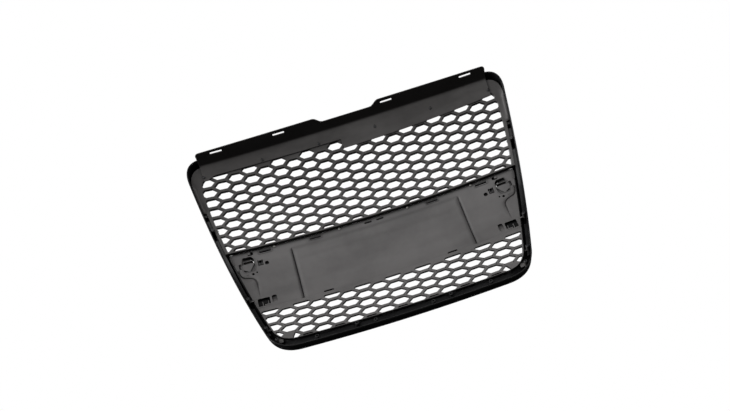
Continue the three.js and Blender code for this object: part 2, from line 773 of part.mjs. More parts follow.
function screw(name, kind, { x, z }, seatDepth, finish) {
  const mesh = new THREE.Mesh(geometryOf(solid(screwGeometry(kind))), finish());
  mesh.name = name;
  const normal = normalAt(x, z);
  mesh.position.set(x, surfaceY(x, z), z).addScaledVector(normal, seatDepth * normal.y);
  mesh.quaternion.copy(squareTo(x, z));
  return mesh;
}

// ---- Assembly ----

const grille = new THREE.Group();
const kit = new THREE.Group();
kit.position.set(0, -SEAT_Y, -SEAT_Z);
grille.add(kit);

function addPiece(name, body, material) {
  const mesh = new THREE.Mesh(geometryOf(body), material);
  mesh.name = name;
  kit.add(mesh);
}

function addScrews(prefix, kind, places, seatDepth, finish) {
  places.forEach((place, index) => {
    kit.add(screw(`${prefix}_${index + 1}`, kind, place, seatDepth, finish));
  });
}

addPiece('surround_frame', surroundFrame(), glossBlack());
addPiece('upper_mesh', upperMesh(), satinBlack());
addPiece('lower_insert', lowerInsert(), mattBlack());
addPiece('top_rail', topRail(), satinBlack());
addPiece('plate_cover', plateCover(), satinBlack());
addPiece('sensor_holder_left', sensorHolder(SENSOR_X), mattBlack());
addPiece('sensor_holder_right', sensorHolder(-SENSOR_X), mattBlack());
addPiece('sensor_cap_left', sensorCap(SENSOR_X), satinBlack());
addPiece('sensor_cap_right', sensorCap(-SENSOR_X), satinBlack());
addScrews('side_screw', SIDE_SCREW, sideScrewPlaces(), COLLAR_REAR + 0.3, blackSteel);
addScrews('panel_screw', PANEL_SCREW, panelScrewPlaces(), PANEL_REAR + 0.3, zincSteel);
addScrews('rail_screw', RAIL_SCREW, railScrewPlaces(), LEG_REAR + 0.3, blackSteel);

export default grille;
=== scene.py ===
"""Looks for the front grille: fine versions of the moulded pieces, their materials and a studio."""

import math

import bmesh
import bpy
import numpy as np
from mathutils import Matrix, Vector
from mathutils.geometry import delaunay_2d_cdt


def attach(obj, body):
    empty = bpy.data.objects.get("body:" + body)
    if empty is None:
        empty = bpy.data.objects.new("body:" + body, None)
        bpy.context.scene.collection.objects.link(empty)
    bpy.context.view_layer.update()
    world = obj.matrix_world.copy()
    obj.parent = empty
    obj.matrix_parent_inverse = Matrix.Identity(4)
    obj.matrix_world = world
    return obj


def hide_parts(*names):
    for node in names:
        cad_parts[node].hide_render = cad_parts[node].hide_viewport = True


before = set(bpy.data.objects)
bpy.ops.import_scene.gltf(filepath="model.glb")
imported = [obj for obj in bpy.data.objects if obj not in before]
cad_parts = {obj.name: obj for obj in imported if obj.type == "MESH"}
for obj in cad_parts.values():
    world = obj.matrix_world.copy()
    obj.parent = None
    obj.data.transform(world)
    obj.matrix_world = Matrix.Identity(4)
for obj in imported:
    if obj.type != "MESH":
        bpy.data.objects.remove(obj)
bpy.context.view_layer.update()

# --- Driving dimensions in millimetres, in the part's design plane: x to the car's left,
# y rearwards, z up. The centre of the number-plate seat is the origin of the frame.

MM = 0.001
SEAT_Y, SEAT_Z = -17.0, -19.0
PLAN_RADIUS, PROFILE_RADIUS, NOSE_Z = 2105.0, 532.0, 29.0

SIDE_HALF, SIDE_LEAN, SIDE_BOW = 357.3, 0.2364, 0.000256
TOP_Z, TOP_CROWN = 307.6, 0.0000886
BOTTOM_Z, BOTTOM_CROWN = -229.0, 0.00001
TOP_CORNER, BOTTOM_CORNER = 46.0, 52.0

PITCH_X, PITCH_Z = 36.2, 23.86
FLAT_HALF, TIP_HALF, CELL_HALF, SMALLEST_CELL = 9.2, 20.9, 8.8, 24.0
UPPER_ROW_Z, LOWER_ROW_Z = 80.0, -110.2

MESH_FRONT, MESH_REAR = -4.1, 4.1
PANEL_FRONT, PANEL_REAR = -5.8, -3.0
FRAME_REAR, FRAME_WALL = 18.0, 2.8
FRAME_FACE, FRAME_TOP_FACE, FRAME_BOTTOM_FACE = 12.0, 30.0, 31.5
LIP_INSET, LIP_DEPTH, LOWER_INSET = 17.5, -6.4, 17.0
SHELF_TOP, SHELF_FRONT, SHELF_REAR, SHELF_INSET, BORDER_INSET = 176.0, -4.9, -1.2, 9.8, 10.4
SHELF_PARTS = [(-176.0, -165.8), (-156.2, -91.0), (-64.8, 108.0), (136.8, 160.0), (170.0, 176.0)]
BORDER_REAR, COLLAR_RADIUS, COLLAR_REAR = -1.5, 4.3, 11.5
FIT_GAP = 0.5
LONGEST_EDGE = 12.0

FIELD_HALF, FIELD_LEAN, FIELD_BOW = 341.0, 0.243, 0.00038
UPPER_TOP, UPPER_CROWN, UPPER_BOTTOM = 269.5, 0.000075, 70.0
LOWER_TOP, LOWER_BOTTOM = -101.0, -200.0
BAR_BOTTOM, BAR_REAR = 64.5, 8.0
PANEL_TOP, LOWER_EDGE, PANEL_INSET = 64.0, -202.0, 16.6

LEG_MIDDLE, RAIL_HALF_THICK = 5.8, 1.2
LEG_FOOT_RIGHT, LEG_FOOT_LEFT = 246.5, 268.5
LEDGE_UNDERSIDE, LEDGE_HALF, LEDGE_CORNER = 297.5, 366.0, 10.0
LEDGE_DEPTH, LEDGE_TAPER, LEDGE_RISE = 49.2, 0.000035, 0.268
LEDGE_ALONG, LEG_RISE, BEND_RISE, BEND_HALF = math.hypot(1.0, LEDGE_RISE), 0.89, 1.3, 4.0
GUSSETS_X = (-345.0, -250.0, -200.0, 30.0, 110.0, 235.0, 345.0)
SLOTS = [(316.0, 10.5), (159.5, 12.0), (-115.7, 12.0), (-316.5, 10.5)]
SLOT_LENGTH, SLOT_WIDTH = 29.0, 6.6
NOTCH_LEFT, NOTCH_RIGHT, NOTCH_DEPTH, NOTCH_SHOULDER = 70.0, -96.0, 15.3, 22.0

SEAT_HALF_W, SEAT_HALF_H = 262.0, 57.0
COVER_FRONT, COVER_TOP, COVER_BOTTOM, COVER_INSET = -12.5, 66.0, -95.0, 17.5

SENSOR_X, SENSOR_Z, SENSOR_BORE = 315.0, 34.0, 12.0
HOLDER_FRONT, HOLDER_REAR, CAP_FRONT, CAP_REAR = -9.4, -6.3, -14.0, -9.8
SENSOR_RIBS = [(0.0, -3.0, 24, 1.4), (0.0, 6.0, 24, 1.4), (-15.0, 1, 1.4, 14), (14.0, 1, 1.4, 14)]

SIDE_SCREW = {"head": 4.2, "height": 2.4, "shank": 2.0, "length": 18.0, "socket": 1.6}
PANEL_SCREW = {"head": 3.2, "height": 2.2, "shank": 1.6, "length": 6.5, "socket": 1.2}
RAIL_SCREW = {"head": 3.0, "height": 1.8, "shank": 1.4, "length": 9.0, "socket": 1.0}
SIDE_HEIGHTS, SIDE_INSET, CORNER_SCREW = (132.0, -69.5, -161.0), 6.3, (286.3, -200.3)
PANEL_SCREWS_X, PANEL_SCREW_Z = (86.0, 247.0), 61.0
RAIL_SCREWS = [(73.0, 275.0), (217.2, 272.0), (364.0, 262.0)]
BUMPER_BOSSES, BUMPER_BOSS_REAR = [(66.5, -214.5), (108.5, -209.0), (200.0, -213.5)], 4.6

# Moulded steps of the number-plate panel.
CENTRE_HALF, CENTRE_TOP, CENTRE_STEP, STEP_WIDE = 211.0, 49.0, 3.0, 1.5
GROOVE, OUTER_RISE, FOOT_GROOVE = 3.8, 1.0, 2.6
STEP_CORNER, RIDGE_HALF = 6.0, 1.2
PANEL_FOOT = -64.0

# Openings of the panel: slots (x, z, length, height) and round holes (x, z, radius, points).
CLIP_SLOTS = [
    (147.5, 56.5, 28, 4), (15.0, 56.5, 18, 4), (271.0, 56.5, 28, 6), (150.0, -92.0, 23, 3.5),
]
ROUND_HOLES = [(273.0, 24.5, 4.8, 24), (310.0, 3.0, 3.0, 16), (300.5, 5.5, 2.0, 12)]
POCKET_X, POCKET_Z = 274.5, -76.0

# Colours, as linear red, green and blue.
DUST = (0.19, 0.18, 0.165)

# The camera, in the design plane. Its roll is in degrees.
CAMERA_PLACE, CAMERA_AIM = (67.0, 1786.6, -901.0), (-0.02813, -0.87166, 0.48930)
CAMERA_LENS, CAMERA_ROLL = 41.39, -18.172


# --- The dome and the outline


def dome(x, z):
    return x * x / (2 * PLAN_RADIUS) + (z - NOSE_Z) ** 2 / (2 * PROFILE_RADIUS)


def side_x(z):
    return SIDE_HALF + SIDE_LEAN * z - SIDE_BOW * z * z


def top_z(x):
    return TOP_Z - TOP_CROWN * x * x


def bottom_z(x):
    return BOTTOM_Z + BOTTOM_CROWN * x * x


def field_x(z):
    return FIELD_HALF + FIELD_LEAN * z - FIELD_BOW * z * z


def normal_at(x, z):
    n = np.array([-x / PLAN_RADIUS, 1.0, -(z - NOSE_Z) / PROFILE_RADIUS])
    return n / np.linalg.norm(n)


def corner_of(side, edge, start):
    z = start
    for _ in range(8):
        z = edge(side(z))
    return side(z), z


def bezier(a, b, c, steps):
    t = np.linspace(0, 1, steps + 1)[:, None]
    a, b, c = np.array(a), np.array(b), np.array(c)
    return (1 - t) ** 2 * a + 2 * t * (1 - t) * b + t * t * c


def domed_loop(side, top, bottom, top_radius, bottom_radius, counts=(16, 12, 34, 12, 20)):
    """A closed anticlockwise loop, symmetric about x = 0, with rounded corners."""
    hx, hz = corner_of(side, top, TOP_Z)
    lx, lz = corner_of(side, bottom, BOTTOM_Z)
    x = np.linspace(0, lx - bottom_radius, counts[0] + 1)
    parts = [np.stack([x, bottom(x) + 0 * x], 1)]
    start = (lx - bottom_radius, bottom(lx - bottom_radius))
    end = (side(lz + bottom_radius), lz + bottom_radius)
    parts.append(bezier(start, (lx, lz), end, counts[1])[1:])
    z = np.linspace(lz + bottom_radius, hz - top_radius, counts[2] + 1)[1:]
    parts.append(np.stack([side(z), z], 1))
    start = (side(hz - top_radius), hz - top_radius)
    end = (hx - top_radius, top(hx - top_radius))
    parts.append(bezier(start, (hx, hz), end, counts[3])[1:])
    x = np.linspace(hx - top_radius, 0, counts[4] + 1)[1:]
    parts.append(np.stack([x, top(x) + 0 * x], 1))
    half = np.concatenate(parts)
    mirrored = half[1:-1][::-1] * np.array([-1.0, 1.0])
    return np.concatenate([half, mirrored])


def outline(inset, top_inset=None, bottom_inset=None):
    top_inset = inset if top_inset is None else top_inset
    bottom_inset = inset if bottom_inset is None else bottom_inset
    return domed_loop(
        lambda z: side_x(z) - inset,
        lambda x: top_z(x) - top_inset,
        lambda x: bottom_z(x) + bottom_inset,
        max(TOP_CORNER - inset / 2, 8),
        max(BOTTOM_CORNER - inset / 2, 8),
    )


# --- Plane polygons


def tidy(loop, least=0.25):
    """Drops points that nearly coincide with the one before."""
    kept = []
    for point in loop:
        if not kept or math.dist(point, kept[-1]) > least:
            kept.append(tuple(point))
    while len(kept) > 1 and math.dist(kept[0], kept[-1]) <= least:
        kept.pop()
    return np.array(kept)


def area(loop):
    x, y = loop[:, 0], loop[:, 1]
    return 0.5 * float(np.sum(x * np.roll(y, -1) - np.roll(x, -1) * y))


def anticlockwise(loop):
    return loop if area(loop) > 0 else loop[::-1]


def clip_half(loop, nx, nz, limit):
    """Keeps the part of a loop where nx x + nz z <= limit."""
    out = []
    count = len(loop)
    value = loop[:, 0] * nx + loop[:, 1] * nz - limit
    for i in range(count):
        j = (i + 1) % count
        if value[i] <= 0:
            out.append(loop[i])
        if value[i] * value[j] < 0:
            t = value[i] / (value[i] - value[j])
            out.append(loop[i] + t * (loop[j] - loop[i]))
    return np.array(out).reshape(-1, 2)


def clip_convex(loop, region):
    """The part of a loop inside a convex anticlockwise region."""
    for i in range(len(region)):
        a, b = region[i], region[(i + 1) % len(region)]
        d = b - a
        loop = clip_half(loop, d[1], -d[0], d[1] * a[0] - d[0] * a[1])
        if len(loop) < 3:
            return loop
    return loop


def rounded(loop, radius, arc_steps=3):
    """Rounds every corner of a convex anticlockwise loop, less where its sides are short."""
    out = []
    count = len(loop)
    for i in range(count):
        p, a, b = loop[i], loop[i - 1], loop[(i + 1) % count]
        u, v = a - p, b - p
        lu, lv = np.linalg.norm(u), np.linalg.norm(v)
        u, v = u / lu, v / lv
        cosine = float(np.clip(np.dot(u, v), -1, 1))
        half = math.acos(cosine) / 2
        if half > math.radians(80):
            out.append(p)
            continue
        reach = min(radius / math.tan(half), 0.45 * lu, 0.45 * lv)
        out.extend(bezier(p + u * reach, p, p + v * reach, arc_steps))
    return np.array(out)


def rectangle(x0, x1, z0, z1):
    return np.array([(x0, z0), (x1, z0), (x1, z1), (x0, z1)], float)


def slot_loop(x, z, width, height, radius=1.2, turn=0.0):
    loop = rounded(rectangle(-width / 2, width / 2, -height / 2, height / 2), radius)
    c, s = math.cos(turn), math.sin(turn)
    return loop @ np.array([[c, s], [-s, c]]) + np.array([x, z])


def disc_loop(x, z, radius, steps=20):
    t = np.linspace(0, 2 * math.pi, steps, endpoint=False)
    return np.stack([x + radius * np.cos(t), z + radius * np.sin(t)], 1)


def loop_normals(loop):
    """Outward unit normals and mitre lengths at the points of an anticlockwise loop."""
    edge = np.roll(loop, -1, 0) - loop
    edge = edge / np.maximum(np.linalg.norm(edge, axis=1), 1e-9)[:, None]
    n = np.stack([edge[:, 1], -edge[:, 0]], 1)
    both = n + np.roll(n, 1, 0)
    length = np.maximum(np.linalg.norm(both, axis=1), 1e-6)
    unit = both / length[:, None]
    return unit, np.minimum(2 / length, 1.5)


def offset(loop, distance):
    unit, mitre = loop_normals(loop)
    return loop + unit * (mitre * distance)[:, None]


def inside(points, loop):
    """Even-odd test of many points against one loop."""
    x, z = points[:, 0], points[:, 1]
    result = np.zeros(len(points), bool)
    for a, b in zip(loop, np.roll(loop, -1, 0)):
        if a[1] == b[1]:
            continue
        crosses = (a[1] > z) != (b[1] > z)
        at = a[0] + (z - a[1]) * (b[0] - a[0]) / (b[1] - a[1])
        result ^= crosses & (x < at)
    return result


def distance_to(points, loop, closed=True):
    """Distance from many points to the nearest point of a loop or line."""
    best = np.full(len(points), 1e9)
    last = len(loop) if closed else len(loop) - 1
    for i in range(last):
        a, b = loop[i], loop[(i + 1) % len(loop)]
        d = b - a
        t = np.clip(((points - a) @ d) / max(float(d @ d), 1e-9), 0, 1)
        best = np.minimum(best, np.linalg.norm(points - (a + t[:, None] * d), axis=1))
    return best


def smooth(t):
    t = np.clip(t, 0, 1)
    return t * t * (3 - 2 * t)


# --- Meshes


class Shell:
    """Collects points with their own shading normals, and faces, for one piece."""

    def __init__(self):
        self.points, self.normals, self.faces, self.count = [], [], [], 0

    def add(self, points, normals):
        first = self.count
        self.points.append(np.asarray(points, float))
        self.normals.append(np.asarray(normals, float))
        self.count += len(points)
        return np.arange(first, self.count)

    def bridge(self, lower, upper, closed=True):
        """Quads between two rows with the same number of points."""
        count = len(lower)
        last = count if closed else count - 1
        for i in range(last):
            j = (i + 1) % count
            self.faces.append((lower[i], lower[j], upper[j], upper[i]))

    def build(self, name, material):
        points = np.concatenate(self.points)
        points = (points - np.array([0, SEAT_Y, SEAT_Z])) * MM
        normals = np.concatenate(self.normals)
        length = np.maximum(np.linalg.norm(normals, axis=1), 1e-9)
        normals = normals / length[:, None]
        mesh = bpy.data.meshes.new(name)
        mesh.from_pydata(points.tolist(), [], [tuple(int(i) for i in f) for f in self.faces])
        mesh.shade_smooth()
        mesh.normals_split_custom_set_from_vertices(normals.tolist())
        mesh.materials.append(material)
        obj = bpy.data.objects.new(name, mesh)
        bpy.context.scene.collection.objects.link(obj)
        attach(obj, "root")
        return obj


def unit(v):
    return v / np.maximum(np.linalg.norm(v, axis=-1), 1e-9)[..., None]


def partials(mapping, u, v, w):
    e = 0.02
    fu = (mapping(u + e, v, w) - mapping(u - e, v, w)) / (2 * e)
    fv = (mapping(u, v + e, w) - mapping(u, v - e, w)) / (2 * e)
    fw = (mapping(u, v, w + e) - mapping(u, v, w - e)) / (2 * e)
    return fu, fv, fw


def face_normals(mapping, flat, w, sign):
    fu, fv, fw = partials(mapping, flat[:, 0], flat[:, 1], np.full(len(flat), w))
    n = unit(np.cross(fu, fv))
    n = n * np.sign(np.sum(n * fw, 1))[:, None]
    return n * sign


def wall_normals(mapping, loop, w, outward):
    """Normals of the wall that stands on a loop; outward is the plane direction it faces."""
    fu, fv, fw = partials(mapping, loop[:, 0], loop[:, 1], np.full(len(loop), w))
    tangent = np.stack([-outward[:, 1], outward[:, 0]], 1)
    along = fu * tangent[:, :1] + fv * tangent[:, 1:]
    n = unit(np.cross(along, fw))
    towards = fu * outward[:, :1] + fv * outward[:, 1:]
    return n * np.sign(np.sum(n * towards, 1))[:, None]


def triangulate(loops, extra, lines):
    """Triangles of the region inside loops[0] and outside the other loops."""
    flat = [tuple(p) for loop in loops for p in loop]
    owner = [k for k, loop in enumerate(loops) for _ in loop]
    edges = []
    start = 0
    for loop in loops:
        count = len(loop)
        edges += [(start + i, start + (i + 1) % count) for i in range(count)]
        start += count
    for line in lines:
        edges += [(start + i, start + i + 1) for i in range(len(line) - 1)]
        flat += [tuple(p) for p in line]
        owner += [-1] * len(line)
        start += len(line)
    flat += [tuple(p) for p in extra]
    owner += [-1] * len(extra)
    out = delaunay_2d_cdt([Vector(p) for p in flat], edges, [], 0, 1e-5)
    source = [group[0] if group else -1 for group in out[3]]
    owner = np.array(owner)
    triangles = []
    for face in out[2]:
        ids = [source[i] for i in face]
        if min(ids) < 0:
            continue
        who = owner[ids]
        if who[0] > 0 and (who == who[0]).all():
            continue
        triangles.append(ids)
    triangles = np.array(triangles)
    flat = np.array(flat)
    centre = flat[triangles].mean(1)
    keep = inside(centre, loops[0])
    triangles = triangles[keep]
    a, b, c = (flat[triangles[:, i]] for i in range(3))
    turn = (b[:, 0] - a[:, 0]) * (c[:, 1] - a[:, 1]) - (b[:, 1] - a[:, 1]) * (c[:, 0] - a[:, 0])
    triangles[turn < 0] = triangles[turn < 0][:, ::-1]
    return flat, triangles


def grid_points(outer, holes, lines, step, margin):
    """Inner points on a grid, kept clear of every edge."""
    low, high = outer.min(0), outer.max(0)
    xs = np.arange(math.floor(low[0] / step) * step, high[0], step)
    zs = np.arange(math.floor(low[1] / step) * step, high[1], step)
    gx, gz = np.meshgrid(xs, zs)
    points = np.stack([gx.ravel(), gz.ravel()], 1)
    points = points[inside(points, outer)]
    points = points[distance_to(points, outer) > margin]
    for hole in holes:
        low, high = hole.min(0) - margin, hole.max(0) + margin
        near = ((points > low) & (points < high)).all(1)
        bad = np.zeros(len(points), bool)
        some = points[near]
        if len(some):
            bad[near] = inside(some, hole) | (distance_to(some, hole) < margin)
        points = points[~bad]
    for line in lines:
        points = points[distance_to(points, line, closed=False) > margin]
    return points


def densified(loop, step):
    """Adds points to long straight edges, so that they follow the dome."""
    out = []
    for a, b in zip(loop, np.roll(loop, -1, 0)):
        count = max(1, math.ceil(np.linalg.norm(b - a) / step))
        out += [a + (b - a) * k / count for k in range(count)]
    return np.array(out)


def placed(mapping, flat, depth):
    return mapping(flat[:, 0], flat[:, 1], np.full(len(flat), depth))


def sheet(shell, outer, holes, mapping, front, rear, bevel=0.5, step=None, lines=(), pits=()):
    """A plate with holes. mapping takes plane coordinates and a depth to a place; every edge
    has a rounded bevel. pits are small blind holes in the rear face: (x, z, radius, depth)."""
    outer = densified(anticlockwise(tidy(outer)), LONGEST_EDGE)
    holes = [densified(anticlockwise(tidy(hole)), LONGEST_EDGE) for hole in holes]
    pit_loops = [disc_loop(x, z, r, 8) for x, z, r, _ in pits]
    loops = [outer] + holes
    signs = [-1] + [1] * len(holes)
    flat_loops = [offset(loop, sign * bevel) for loop, sign in zip(loops, signs)]
    blocked = flat_loops[1:] + pit_loops
    extra = grid_points(flat_loops[0], blocked, lines, step, 0.35 * step) if step else []
    flat, rear_faces = triangulate(flat_loops + pit_loops, extra, lines)
    front_flat, front_faces = flat, rear_faces
    if len(pits):
        front_flat, front_faces = triangulate(flat_loops, extra, lines)
    rear_ids = shell.add(placed(mapping, flat, rear), face_normals(mapping, flat, rear, 1))
    front_normals = face_normals(mapping, front_flat, front, -1)
    front_ids = shell.add(placed(mapping, front_flat, front), front_normals)
    shell.faces += [tuple(rear_ids[t][::-1]) for t in rear_faces]
    shell.faces += [tuple(front_ids[t]) for t in front_faces]
    start = 0
    for loop, sign in zip(loops, signs):
        part = slice(start, start + len(loop))
        edge_wall(shell, loop, sign, mapping, (front, rear), bevel, rear_ids[part], front_ids[part])
        start += len(loop)
    for pit, loop in zip(pits, pit_loops):
        blind_hole(shell, pit, mapping, rear, rear_ids[start:start + len(loop)])
        start += len(loop)


def edge_wall(shell, loop, sign, mapping, depths, bevel, rear_ids, front_ids):
    """The bevelled wall of one edge. sign is -1 on the outer edge and 1 round a hole."""
    front, rear = depths
    outward = loop_normals(loop)[0] * -sign
    rows = [rear_ids]
    turn = math.radians(45)
    for end, towards in ((rear, -1), (front, 1)):
        steps = [(1 - math.sin(turn), 1 - math.cos(turn), turn), (0.0, 1.0, 2 * turn)]
        if end == front:
            steps.reverse()
        for aside, deep, angle in steps:
            ring = offset(loop, sign * bevel * aside)
            depth = end + towards * bevel * deep
            face = face_normals(mapping, ring, depth, -towards)
            wall = wall_normals(mapping, ring, depth, outward)
            n = face * math.cos(angle) + wall * math.sin(angle)
            rows.append(shell.add(placed(mapping, ring, depth), n))
    rows.append(front_ids)
    for upper, lower in zip(rows, rows[1:]):
        if sign < 0:
            shell.bridge(upper, lower)
        else:
            shell.bridge(upper[::-1], lower[::-1])


def blind_hole(shell, pit, mapping, rear, edge):
    """The tapered wall and the floor of a small blind hole in the rear face."""
    x, z, radius, depth = pit
    low = disc_loop(x, z, radius * 0.8, len(edge))
    floor = placed(mapping, low, rear - depth)
    wall = wall_normals(mapping, low, rear - depth, -loop_normals(low)[0])
    foot = shell.add(floor, wall)
    shell.bridge(edge[::-1], foot[::-1])
    bed = shell.add(floor, face_normals(mapping, low, rear - depth, 1))
    shell.faces.append(tuple(bed[::-1]))


def on_dome(x, z, w):
    return np.stack([x, dome(x, z) + w, z], 1)


def plate(shell, loop, front, rear, bevel=0.4, holes=()):
    """A small plate that follows the dome."""
    sheet(shell, loop, list(holes), on_dome, front, rear, bevel)


def lathe(shell, profile, steps, place):
    """Turns (radius, height) points about the local Y axis. Sharp turns get two rows.
    place takes local points and directions to the design frame."""
    t = np.linspace(0, 2 * math.pi, steps, endpoint=False)
    spokes = np.stack([np.cos(t), 0 * t, np.sin(t)], 1)
    axis = np.array([0.0, 1.0, 0.0])
    for (r0, h0), (r1, h1) in zip(profile, profile[1:]):
        n = np.array([h1 - h0, -(r1 - r0)])
        n = n / np.linalg.norm(n)
        normals = spokes * n[0] + axis * n[1]
        rows = []
        for r, h in ((r0, h0), (r1, h1)):
            points = spokes * r + axis * h
            rows.append(shell.add(*place(points, normals)))
        if r0 < 1e-6 or r1 < 1e-6:
            tip = rows[0] if r0 < 1e-6 else rows[1]
            rim = rows[1] if r0 < 1e-6 else rows[0]
            for i in range(steps):
                j = (i + 1) % steps
                face = (tip[i], rim[i], rim[j]) if r0 < 1e-6 else (tip[i], rim[j], rim[i])
                shell.faces.append(face)
            continue
        shell.bridge(rows[1], rows[0])


def standing(x, z, depth):
    """A place function for something that stands square to the dome, its base at a depth."""
    n = normal_at(x, z)
    base = np.array([x, dome(x, z), z]) + n * (depth * n[1])
    turn = Vector((0, 1, 0)).rotation_difference(Vector(n)).to_matrix()
    turn = np.array(turn)
    return lambda p, d: (p @ turn.T + base, d @ turn.T)


# --- Surround: a channel section swept round the outline


def surround(shell):
    """Section points are (inset, depth), outer wall first."""
    face, lip, seat = FRAME_FACE, LIP_INSET, LIP_DEPTH
    wall = FRAME_WALL
    section = [(0.6, FRAME_REAR), (0.18, FRAME_REAR - 0.18), (0.0, FRAME_REAR - 0.6)]
    section += [(0.0, 12.0), (0.0, 11.4), (0.5, 11.0), (0.5, 9.6), (0.0, 9.2), (0.0, -11.0)]
    for k in range(1, 7):
        angle = math.radians(90 * k / 6)
        section.append((6 * (1 - math.cos(angle)), -11.0 - 7.4 * math.sin(angle)))
    section += [(7.2, -18.7), (8.5, -18.8)]
    for k in range(1, 5):
        angle = math.radians(90 * k / 4)
        section.append((face - 3.5 + 3.5 * math.sin(angle), -15.5 - 3.3 * math.cos(angle)))
    section += [(face + 0.7, -13.0), (lip - 0.3, seat - 1.4), (lip, seat - 0.7)]
    section += [(lip - 0.1, seat - 0.2), (lip - 0.5, seat), (lip - 3.2, seat)]
    section += [(lip - 3.6, seat - 0.2), (lip - 3.9, seat - 0.6)]
    section += [(face - 1.8, -12.6), (face - 3.6, -15.2)]
    section += [(wall + 3.0, -15.4), (wall + 1.0, -12.6), (wall, -9.0), (wall, 4.0)]
    section += [(wall, FRAME_REAR - 0.6), (wall - 0.18, FRAME_REAR - 0.18)]
    section += [(wall - 0.6, FRAME_REAR)]
    rings = []
    for inset, depth in section:
        reach = smooth((inset - wall) / (lip - wall))
        top_extra = (FRAME_TOP_FACE - lip) * reach
        bottom_extra = (FRAME_BOTTOM_FACE - lip) * reach
        loop = outline(inset, inset + top_extra, inset + bottom_extra)
        rings.append(np.stack([loop[:, 0], dome(loop[:, 0], loop[:, 1]) + depth, loop[:, 1]], 1))
    rings = np.array(rings)
    along = unit(np.roll(rings, -1, 1) - np.roll(rings, 1, 1))
    rows = len(section)
    normals = []
    for i in range(rows):
        before = rings[i] - rings[i - 1]
        after = rings[(i + 1) % rows] - rings[i]
        mixed = unit(before) + unit(after)
        normals.append(unit(np.cross(along[i], mixed)))
    middle = rings.mean(0)
    flip = np.sign(np.sum((rings[3] - middle) * normals[3]))
    ids = [shell.add(ring, n * flip) for ring, n in zip(rings, normals)]
    for i in range(rows):
        shell.bridge(ids[i], ids[(i + 1) % rows])


def side_shelf(shell):
    """Floors that close the side channels, between the windows and the screw collars."""
    for low, high in SHELF_PARTS:
        zs = np.linspace(low, high, max(2, int((high - low) / 10)))
        for sign in (1, -1):
            outer = np.stack([sign * (side_x(zs) - FRAME_WALL + 0.8), zs], 1)
            inner = np.stack([sign * (side_x(zs) - SHELF_INSET), zs], 1)
            loop = np.concatenate([outer, inner[::-1]])
            plate(shell, loop, SHELF_FRONT, SHELF_REAR)


def boss(shell, x, z, base, top, bore, radius=4.5):
    """A round boss with a blind bore and softened rims."""
    r, t = radius, top
    profile = [(0.0, base), (r, base), (r, t - 0.9), (r - 0.3, t - 0.3), (r - 0.9, t)]
    profile += [(bore + 0.4, t)]
    profile += [(bore, t - 0.4), (bore, base + 1.5), (0.0, base + 1.2)]
    lathe(shell, profile, 24, standing(x, z, 0.0))


def web(shell, x, z):
    """A short rib that ties a bumper boss to the wall below it."""
    foot = bottom_z(x) + 1.0
    plate(shell, rectangle(x - 0.9, x + 0.9, foot, z - 3.6), -13.0, -1.0, 0.3)


def build_surround(material):
    shell = Shell()
    surround(shell)
    side_shelf(shell)
    for x, z in side_screw_places():
        boss(shell, x, z, -8.0, MESH_FRONT - FIT_GAP, 2.4)
    for x, z in [(s * x, z) for x, z in BUMPER_BOSSES for s in (1, -1)]:
        boss(shell, x, z, -13.0, BUMPER_BOSS_REAR, 2.2, 5.0)
        web(shell, x, z)
    obj = shell.build("surround_ring", material)
    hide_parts("surround_frame")


# --- Honeycomb mouldings


def cell(x, z):
    return np.array([
        (x - TIP_HALF, z),
        (x - FLAT_HALF, z - CELL_HALF),
        (x + FLAT_HALF, z - CELL_HALF),
        (x + TIP_HALF, z),
        (x + FLAT_HALF, z + CELL_HALF),
        (x - FLAT_HALF, z + CELL_HALF),
    ])


def lattice(columns, first_z, rows):
    """Centres of the staggered openings."""
    for column in range(-columns, columns + 1):
        shift = 0.5 * (column % 2)
        for row in range(rows[0], rows[1] + 1):
            yield column * PITCH_X, first_z + (row + shift) * PITCH_Z


def cells(columns, first_z, rows, region):
    """Rounded openings on the lattice, cut to a convex region. Slivers are left solid."""
    found = []
    for x, z in lattice(columns, first_z, rows):
        loop = tidy(clip_convex(cell(x, z), region), 0.6)
        if len(loop) > 2 and area(loop) >= SMALLEST_CELL:
            found.append(tidy(rounded(loop, 1.5), 0.12))
    return found


def edge_lift(x, z):
    """How far the upper border curls rearwards towards the skirt of the surround."""
    inset = side_x(z) - np.abs(x)
    reach = np.clip(13.0 - inset, 0, 9.6)
    curl = 10.0 - np.sqrt(np.maximum(100.0 - reach ** 2, 0))
    return curl * 0.9 * smooth((z - SHELF_TOP) / 10) * (1 - 0.75 * smooth((z - 215) / 40))


def on_upper(x, z, w):
    lift = edge_lift(x, z) * (w > 0)
    return np.stack([x, dome(x, z) + w + lift, z], 1)


def junctions(first_z, rows, columns, region, clear):
    """Lattice points where three walls meet, kept clear of the region's edge."""
    places = lattice(columns, first_z + 0.5 * PITCH_Z, rows)
    points = np.array([(x + aside, z) for x, z in places for aside in (-10.4, 10.4)])
    keep = inside(points, region) & (distance_to(points, region) > clear)
    return points[keep]


def collar(shell, x, z):
    """A tall round screw collar and the short tie to the border beside it."""
    n = normal_at(x, z)[1]
    r, t, bore = COLLAR_RADIUS, COLLAR_REAR * n, SIDE_SCREW["shank"] + 0.4
    profile = [(bore, MESH_FRONT), (r, MESH_FRONT), (r, t - 0.5), (r - 0.15, t - 0.15)]
    profile += [(r - 0.5, t), (bore + 0.4, t), (bore, t - 0.4), (bore, MESH_FRONT)]
    lathe(shell, profile, 28, standing(x, z, 0.0))
    inner = x - math.copysign(12.5, x)
    reach = 9.0 if z == CORNER_SCREW[1] else 1.8
    tie = rectangle(min(x, inner), max(x, inner), z - 1.8, z + reach)
    tie = clip_half(tie, math.copysign(1.0, x), 0, abs(x) - 3.2)
    plate(shell, tie, MESH_FRONT, BORDER_REAR)


def screw_holes(places, radius):
    return [disc_loop(x, z, radius, 16) for x, z in places]


